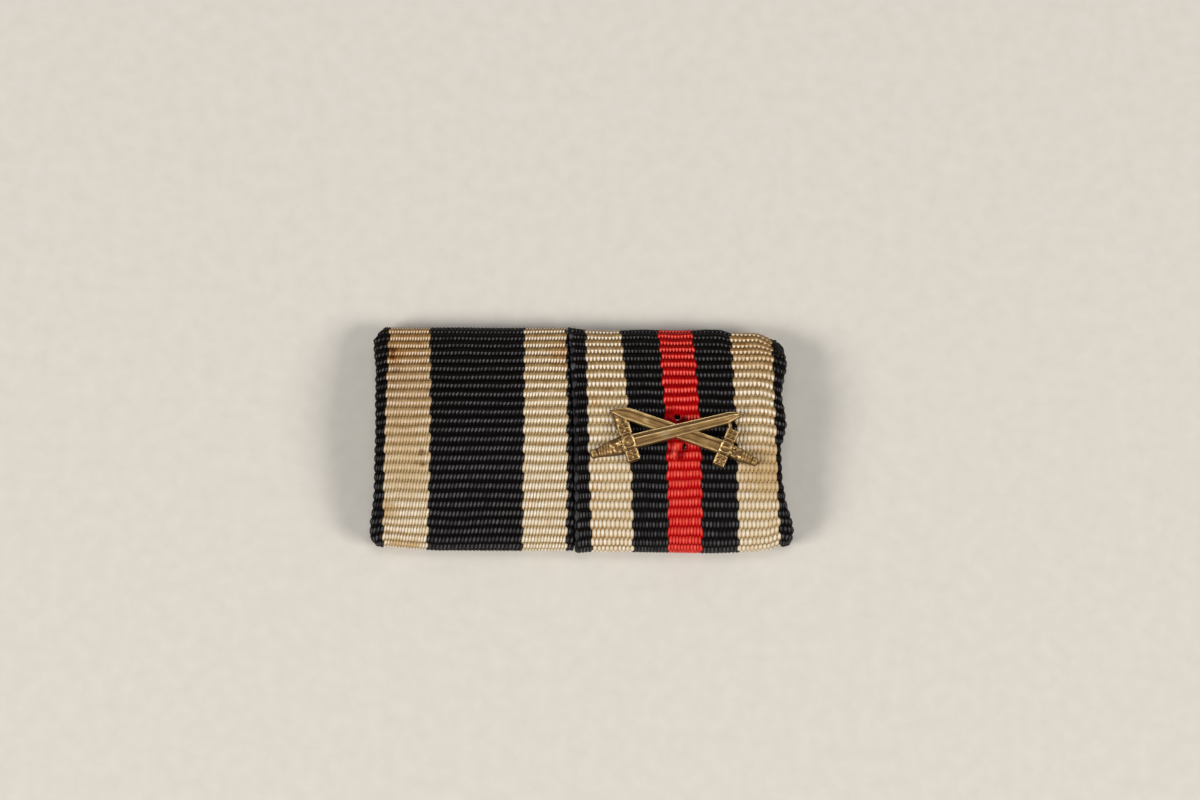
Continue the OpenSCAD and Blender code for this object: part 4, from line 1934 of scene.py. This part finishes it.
@dataclass(frozen=True)
class SteelFinish:
    """Plain sheet or drawn wire, dulled by age."""

    name: str
    clean: Colour
    dull: Colour
    roughness: float
    grain_scale: float
    dull_rougher: float = 0.2
    pit_share: float = 0.6
    relief: float = 0.02

    def material(self, grain: bpy.types.NodeTree) -> bpy.types.Material:
        """Makes the metal, which reads Object coordinates.

        Args:
            grain: the group that gives metal its marks.

        Returns:
            The material.
        """
        made = bpy.data.materials.new(self.name)
        w, shader = principled(made, {"Specular IOR Level": 0.5})
        marks = w.group(grain, Place=w.object_place(), Scale=self.grain_scale).outputs
        blotch = marks["Blotch"]
        colour = w.blend(blotch, self.clean, self.dull)
        colour = w.blend(w.times(marks["Pits"], self.pit_share), colour, self.dull)
        rough = w.choose(blotch, self.roughness, self.roughness + self.dull_rougher)
        height = w.minus(marks["Scratches"], marks["Pits"])
        w.feed(shader.inputs["Base Color"], colour)
        w.feed(shader.inputs["Metallic"], w.remap(blotch, 0.2, 1.0, 0.95, 0.7))
        w.feed(shader.inputs["Roughness"], rough)
        w.feed(shader.inputs["Normal"], w.bump(height, 0.25, self.relief * MM))
        return made


@dataclass(frozen=True)
class SoftBox:
    """A square lamp: where it stands, how wide it is and its power in watts."""

    name: str
    place: Triple
    width: float
    power: float
    colour: Triple


@dataclass
class Studio:
    """The pale floor, the soft lamps and the camera.

    The camera is tilted back from straight above and looks at a point aim_up above the crown's middle
    line. At the crown's distance camera_away, scale_px pixels of its picture are a millimetre.
    """

    section: BarSection
    camera_tilt: float = 10.0
    camera_away: float = 300.0
    aim_x: float = 1.33
    aim_up: float = 2.27
    scale_px: float = 13.87
    picture_w_px: float = 1200.0
    sensor: float = 36.0
    floor_side: float = 1600.0
    floor_colours: tuple[Colour, Colour] = ((0.56, 0.53, 0.48, 1), (0.64, 0.61, 0.56, 1))
    room_light: Colour = (0.9, 0.95, 1.0, 1)
    room_strength: float = 0.2
    lamps: tuple[SoftBox, ...] = (
        SoftBox("lamp_left", (-420, -190, 400), 240, 2.5, (1.0, 0.97, 0.93)),
        SoftBox("lamp_right", (420, -170, 400), 240, 2.3, (1.0, 0.97, 0.93)),
        SoftBox("lamp_above", (0, 130, 650), 200, 0.9, (1.0, 0.98, 0.96)),
    )

    def build(self) -> None:
        """Makes the floor, the lamps, the room's light and the camera."""
        self._floor()
        for lamp in self.lamps:
            self._lamp(lamp)
        self._world()
        self._camera()
        bpy.context.scene.view_settings.view_transform = "Standard"

    def _floor(self) -> None:
        """A wide flat floor of plain pale card, at the height of the bar's lowest point."""
        half = self.floor_side / 2 * MM
        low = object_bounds()[0][2]
        mesh = bpy.data.meshes.new("floor")
        corners = [(-half, -half, low), (half, -half, low), (half, half, low), (-half, half, low)]
        mesh.from_pydata(corners, [], [(0, 1, 2, 3)])
        made = bpy.data.materials.new("pale_card")
        w, shader = principled(made, {"Roughness": 0.9, "Specular IOR Level": 0.2})
        w.feed(shader.inputs["Base Color"], w.blend(w.noise(w.object_place(), 900, 4), *self.floor_colours))
        mesh.materials.append(made)
        floor = bpy.data.objects.new("floor", mesh)
        bpy.context.scene.collection.objects.link(floor)
        floor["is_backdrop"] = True

    def _lamp(self, lamp: SoftBox) -> None:
        """Hangs one square lamp, turned to the bar.

        Args:
            lamp: the lamp.
        """
        data = bpy.data.lights.new(lamp.name, "AREA")
        data.shape = "SQUARE"
        data.size = lamp.width * MM
        data.energy = lamp.power
        data.color = lamp.colour
        light = bpy.data.objects.new(lamp.name, data)
        light.location = [c * MM for c in lamp.place]
        light.rotation_euler = (-light.location).to_track_quat("-Z", "Y").to_euler()
        bpy.context.scene.collection.objects.link(light)

    def _world(self) -> None:
        """A dim even light from all round."""
        world = bpy.data.worlds.new("room")
        world.use_nodes = True
        background = world.node_tree.nodes["Background"]
        background.inputs[0].default_value = self.room_light
        background.inputs[1].default_value = self.room_strength
        bpy.context.scene.world = world

    def _camera(self) -> None:
        """The camera: back along its own axis from the point that it looks at."""
        tilt = math.radians(self.camera_tilt)
        up = np.array([0, math.cos(tilt), math.sin(tilt)])
        back = np.array([0, -math.sin(tilt), math.cos(tilt)])
        crown = np.array([self.aim_x, 0, self.section.crown_z])
        place = crown + self.aim_up * up + self.camera_away * back
        data = bpy.data.cameras.new("camera")
        data.sensor_width = self.sensor
        data.lens = self.scale_px * self.camera_away / self.picture_w_px * self.sensor
        data.clip_start = 0.01
        data.clip_end = 10
        camera = bpy.data.objects.new("camera", data)
        camera.location = tuple(place * MM)
        camera.rotation_euler = (tilt, 0, 0)
        bpy.context.scene.collection.objects.link(camera)
        bpy.context.scene.camera = camera


def outline(table: Table, place: float, width: float, lean: float, bar_h: float) -> Table:
    """A selvage's outline in millimetres.

    Args:
        table: rows of height as a share of bar_h and place as a share of the ribbon's width.
        place: where the straight edge stands at the crown.
        width: the ribbon's width.
        lean: the edge's lean in degrees, to the right at the top.
        bar_h: the bar's height.

    Returns:
        Rows of height and place.
    """
    slope = math.tan(math.radians(lean))
    return tuple((h * bar_h, place + p * width + slope * h * bar_h) for h, p in table)


# Height and place, in millimetres, of the upper ribbon's edge along the seam.
SEAM: Table = (
    (-8.6, -0.52), (-7.0, -0.54), (0.0, -0.61), (3.5, -0.74), (7.0, -0.93), (8.0, -1.02), (8.6, -1.16),
)
# The bar's two outer edges, as outline reads them.
LEFT_SELVAGE: Table = (
    (-0.52, 0.033), (-0.5, 0.02), (-0.485, -0.012), (-0.45, -0.033), (-0.4, -0.03), (-0.33, -0.02),
    (-0.25, -0.012), (0, -0.009), (0.2, -0.014), (0.3, -0.015), (0.4, -0.028), (0.45, -0.032),
    (0.48, -0.014), (0.5, 0.006), (0.52, 0.012),
)
RIGHT_SELVAGE: Table = (
    (-0.52, -0.03), (-0.5, -0.015), (-0.48, 0.008), (-0.45, 0.02), (-0.4, 0.015), (-0.35, 0),
    (-0.3, -0.013), (-0.25, -0.018), (-0.2, -0.036), (-0.1, -0.031), (-0.05, -0.025), (0, -0.007),
    (0.05, 0.005), (0.12, 0.002), (0.2, -0.011), (0.26, 0.002), (0.33, 0.022), (0.4, 0.02),
    (0.44, 0.012), (0.47, -0.008), (0.5, -0.04), (0.52, -0.043),
)


def left_ribbon(section: BarSection, shape: FloatShape) -> WovenRibbon:
    """The black ribbon with two cream stripes, whose right selvage runs on under the other one.

    Args:
        section: the bar's section.
        shape: the shape of its floats.

    Returns:
        The ribbon, not yet built.
    """
    return WovenRibbon(
        name="ribbon_left_cloth", node="ribbon_left", section=section, shape=shape,
        stripes=(
            Stripe(Yarn.BLACK, 4.75, (-14.02, -14.17, -14.34)),
            Stripe(Yarn.CREAM, 15.0, (-11.04, -10.92, -11.16)),
            Stripe(Yarn.BLACK, 25.0, (-4.16, -4.15, -4.26)),
            Stripe(Yarn.CREAM, 14.0, (-1.14, -1.03, -1.09)),
            Stripe(Yarn.BLACK, 4.75),
        ),
        left=Edge(
            EdgeKind.FREE, outline(LEFT_SELVAGE, -14.8, 15, 0.6, section.bar_h), round_over=0.36,
            droop=((-8, 0.0), (-4, 0.1), (0, 0.3), (5, 0.4), (8, 0.5)), calm=0.75, droop_reach=1.2,
        ),
        right=Edge(EdgeKind.UNDER, ((-9, 0.2), (9, 0.2)), round_over=0.2, droop=((0, 0.0),), calm=0.0),
        rib_pitch=0.69, rib_start=0.19, slant=0.24, seam=SEAM, seed=3,
        top_sag=((-15, 0.0), (-13.5, 0.07), (-1, 0.07)),
        bottom_sag=(
            (-15.3, 0.0), (-14.6, 0.28), (-14.1, 0.36), (-13.4, 0.3), (-12.5, 0.2), (-10.3, 0.05), (-1, 0.05),
        ),
    )


def right_ribbon(section: BarSection, shape: FloatShape) -> WovenRibbon:
    """The ribbon with the red middle stripe, lapped over the left one and holed by the swords.

    Args:
        section: the bar's section.
        shape: the shape of its floats.

    Returns:
        The ribbon, not yet built.
    """
    return WovenRibbon(
        name="ribbon_right_cloth", node="ribbon_right", section=section, shape=shape,
        stripes=(
            Stripe(Yarn.BLACK, 4.75, (0.31, 0.47, 0.72)),
            Stripe(Yarn.CREAM, 10.0, (2.93, 3.45, 3.72)),
            Stripe(Yarn.BLACK, 10.5, (5.63, 6.09, 6.25)),
            Stripe(Yarn.RED, 10.5, (8.10, 8.54, 8.70), rib_shift=0.2),
            Stripe(Yarn.BLACK, 9.5, (10.86, 11.14, 11.34)),
            Stripe(Yarn.CREAM, 10.0, (13.88, 14.02, 14.34)),
            Stripe(Yarn.BLACK, 4.25),
        ),
        left=Edge(EdgeKind.OVER, SEAM, round_over=0.16, droop=((0, 0.15),), calm=0.3, strand=0.6),
        right=Edge(
            EdgeKind.FREE, outline(RIGHT_SELVAGE, 14.8, 15.3, -2.2, section.bar_h), round_over=0.36,
            droop=((-8, -0.1), (-6, 0.0), (-2, 0.1), (1, 0.5), (3, 0.72), (8, 0.6)), calm=0.7,
            droop_reach=2.0, strand=0.34,
        ),
        rib_pitch=0.705, rib_start=0.27, slant=0.06, seam=SEAM, seed=17,
        top_sag=(
            (-1.5, 0.1), (0, 0.2), (2, 0.3), (4.5, 0.2), (7, 0.3), (9.3, 0.2), (10.2, 0.24), (10.7, 0.42),
            (12.8, 0.48), (13.4, 0.72), (14.0, 1.02), (14.4, 1.1), (14.8, 1.2),
        ),
        bottom_sag=(
            (-1, -0.02), (5, -0.1), (7, -0.14), (9.5, -0.14), (12, -0.08), (13.5, 0.08), (14.3, 0.4),
            (15.3, 0.2),
        ),
        punctures=(
            Puncture(6.9, 1.15, radius=0.24, lip=0.3, rows=4),
            Puncture(7.44, -1.1, radius=0.12, lip=0.3, rows=6),
        ),
        snags=(
            Snag(6.72, -1.5, half_w=0.2, half_l=0.45, height=0.26),
            Snag(7.15, -1.0, half_w=0.14, half_l=0.2, height=0.1),
        ),
    )


def yarn_finishes() -> dict[Yarn, YarnFinish]:
    """The three yarns' colours and gloss: light is a painted highlight and gap a painted shade.

    Returns:
        The finish of each yarn.
    """
    return {
        Yarn.BLACK: YarnFinish(
            light=(0.066, 0.064, 0.068, 1), flank=(0.005, 0.004, 0.004, 1), gap=(0.002, 0.002, 0.002, 1),
            gloss=0.22, fineness=1.5, unevenness=0.9,
        ),
        Yarn.CREAM: YarnFinish(
            light=(0.76, 0.7, 0.6, 1), flank=(0.52, 0.38, 0.2, 1), gap=(0.13, 0.078, 0.032, 1),
            gloss=0.7, fineness=1.15, unevenness=0.5,
        ),
        Yarn.RED: YarnFinish(
            light=(0.8, 0.085, 0.055, 1), flank=(0.46, 0.001, 0.003, 1), gap=(0.28, 0.0, 0.001, 1),
            gloss=0.3, fineness=1.1, unevenness=0.5,
        ),
    }


# Rust, age and rubbing on each ribbon, with spots where the painted highlight is dulled, and on the right one
# painted shade round the punctures and a painted highlight on the pulled-up float.
LEFT_STAINS_AND_PAINTED_LIGHT = (
    StainAndPaintedLight(-13.82, 6.35, 0.4, 1.0, RUST, 0.9), StainAndPaintedLight(-13.75, 5.75, 0.36, 0.95, RUST, 0.9),
    StainAndPaintedLight(-13.6, 5.9, 0.9, 0.7, AMBER), StainAndPaintedLight(-1.5, 6.2, 1.0, 0.5, AMBER),
    StainAndPaintedLight(-12.5, 2.8, 3.8, 0.55, BROWN, 0.3),
    StainAndPaintedLight(-13.45, 4.6, 0.4, 0.5, RUST, 0.5), StainAndPaintedLight(-11.5, -1.5, 0.3, 1.0, RUST, 0.8),
    StainAndPaintedLight(-11.45, -2.3, 0.28, 0.8, RUST, 0.8), StainAndPaintedLight(-11.95, -2.25, 0.2, 0.7, RUST, 0.8),
    StainAndPaintedLight(-14.0, -7.2, 0.3, 0.9, RUST, 0.8),
    StainAndPaintedLight(-13.2, -1.6, 3.0, 0.15, TAN, 0.55), StainAndPaintedLight(-12.3, -3.6, 1.8, 0.0, TAN, 0.5),
    StainAndPaintedLight(-14.1, -5.6, 1.2, 0.0, TAN, 0.8), StainAndPaintedLight(-12.5, 7.5, 3.0, 0.5, TAN),
    StainAndPaintedLight(-13.4, -8.15, 0.75, 0.3, TAN, 0.9), StainAndPaintedLight(-12.3, -8.15, 0.75, 0.3, TAN, 0.9),
)
RIGHT_STAINS_AND_PAINTED_LIGHT = (
    StainAndPaintedLight(13.0, 6.5, 3.2, 0.4, TAN, 0.2),
    StainAndPaintedLight(1.06, 2.2, 0.5, 0.5, TAN), StainAndPaintedLight(13.6, -2.6, 2.6, 0.3, TAN, 0.75),
    # Painted shade round the upper puncture, where the floats take no painted highlight.
    StainAndPaintedLight(6.3, 1.2, 0.8, 0.35, SHADE, 1.0), StainAndPaintedLight(7.25, 0.9, 0.42, 0.9, SHADE, 0.9),
    # Painted highlight on the pulled-up float below the crossing: no tint, only more highlight.
    StainAndPaintedLight(6.78, -1.2, 0.42, 0.0, RUST, -1.0), StainAndPaintedLight(6.68, -1.65, 0.42, 0.0, RUST, -1.0),
    # Painted shade round the lower puncture, the slit and the pulled-up float.
    StainAndPaintedLight(6.3, -1.5, 0.3, 0.6, SHADE, 0.8), StainAndPaintedLight(7.1, -1.7, 0.4, 0.55, SHADE, 0.9),
    StainAndPaintedLight(7.46, -1.15, 0.4, 0.5, SHADE, 0.8), StainAndPaintedLight(6.45, -0.95, 0.3, 0.4, SHADE, 0.7),
)


def dress_frame(metals: dict[str, bpy.types.Material]) -> None:
    """Gives the pieces that keep their solids' shapes their metal.

    Args:
        metals: the material of each node.
    """
    for node, material in metals.items():
        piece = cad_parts[node]
        piece.data.materials.clear()
        piece.data.materials.append(material)
        LOG.info("%s keeps its solid's shape", node)


def main() -> None:
    """Builds the bar's pieces in order, dresses them and sets up the studio."""
    logging.basicConfig(level=logging.INFO, format="%(name)s: %(message)s")
    section, shape, yarns = BarSection(), FloatShape(), yarn_finishes()
    floats, spot, grain = woven_floats(shape), round_spot(), metal_grain()
    left, right = left_ribbon(section, shape), right_ribbon(section, shape)
    left_finish = RibbonFinish(yarns, LEFT_STAINS_AND_PAINTED_LIGHT, lit_shares=(0.9, 1.2), twist=1.4, taper=0.4, gap_share=0.2)
    left.build(left_finish.material(left, floats, spot))
    right.build(RibbonFinish(yarns, RIGHT_STAINS_AND_PAINTED_LIGHT).material(right, floats, spot))
    CrossedSwords(section).build(BrassFinish().material(section.crown_z, grain, spot))
    plate = SteelFinish("plate_tinned", (0.5, 0.5, 0.49, 1), (0.24, 0.22, 0.2, 1), 0.4, 1.0)
    pin = SteelFinish("pin_wire", (0.66, 0.66, 0.64, 1), (0.36, 0.33, 0.29, 1), 0.3, 1.4)
    dress_frame({"bar_plate": plate.material(grain), "brooch_pin": pin.material(grain)})
    Studio(section).build()


if __name__ == "__main__":
    main()
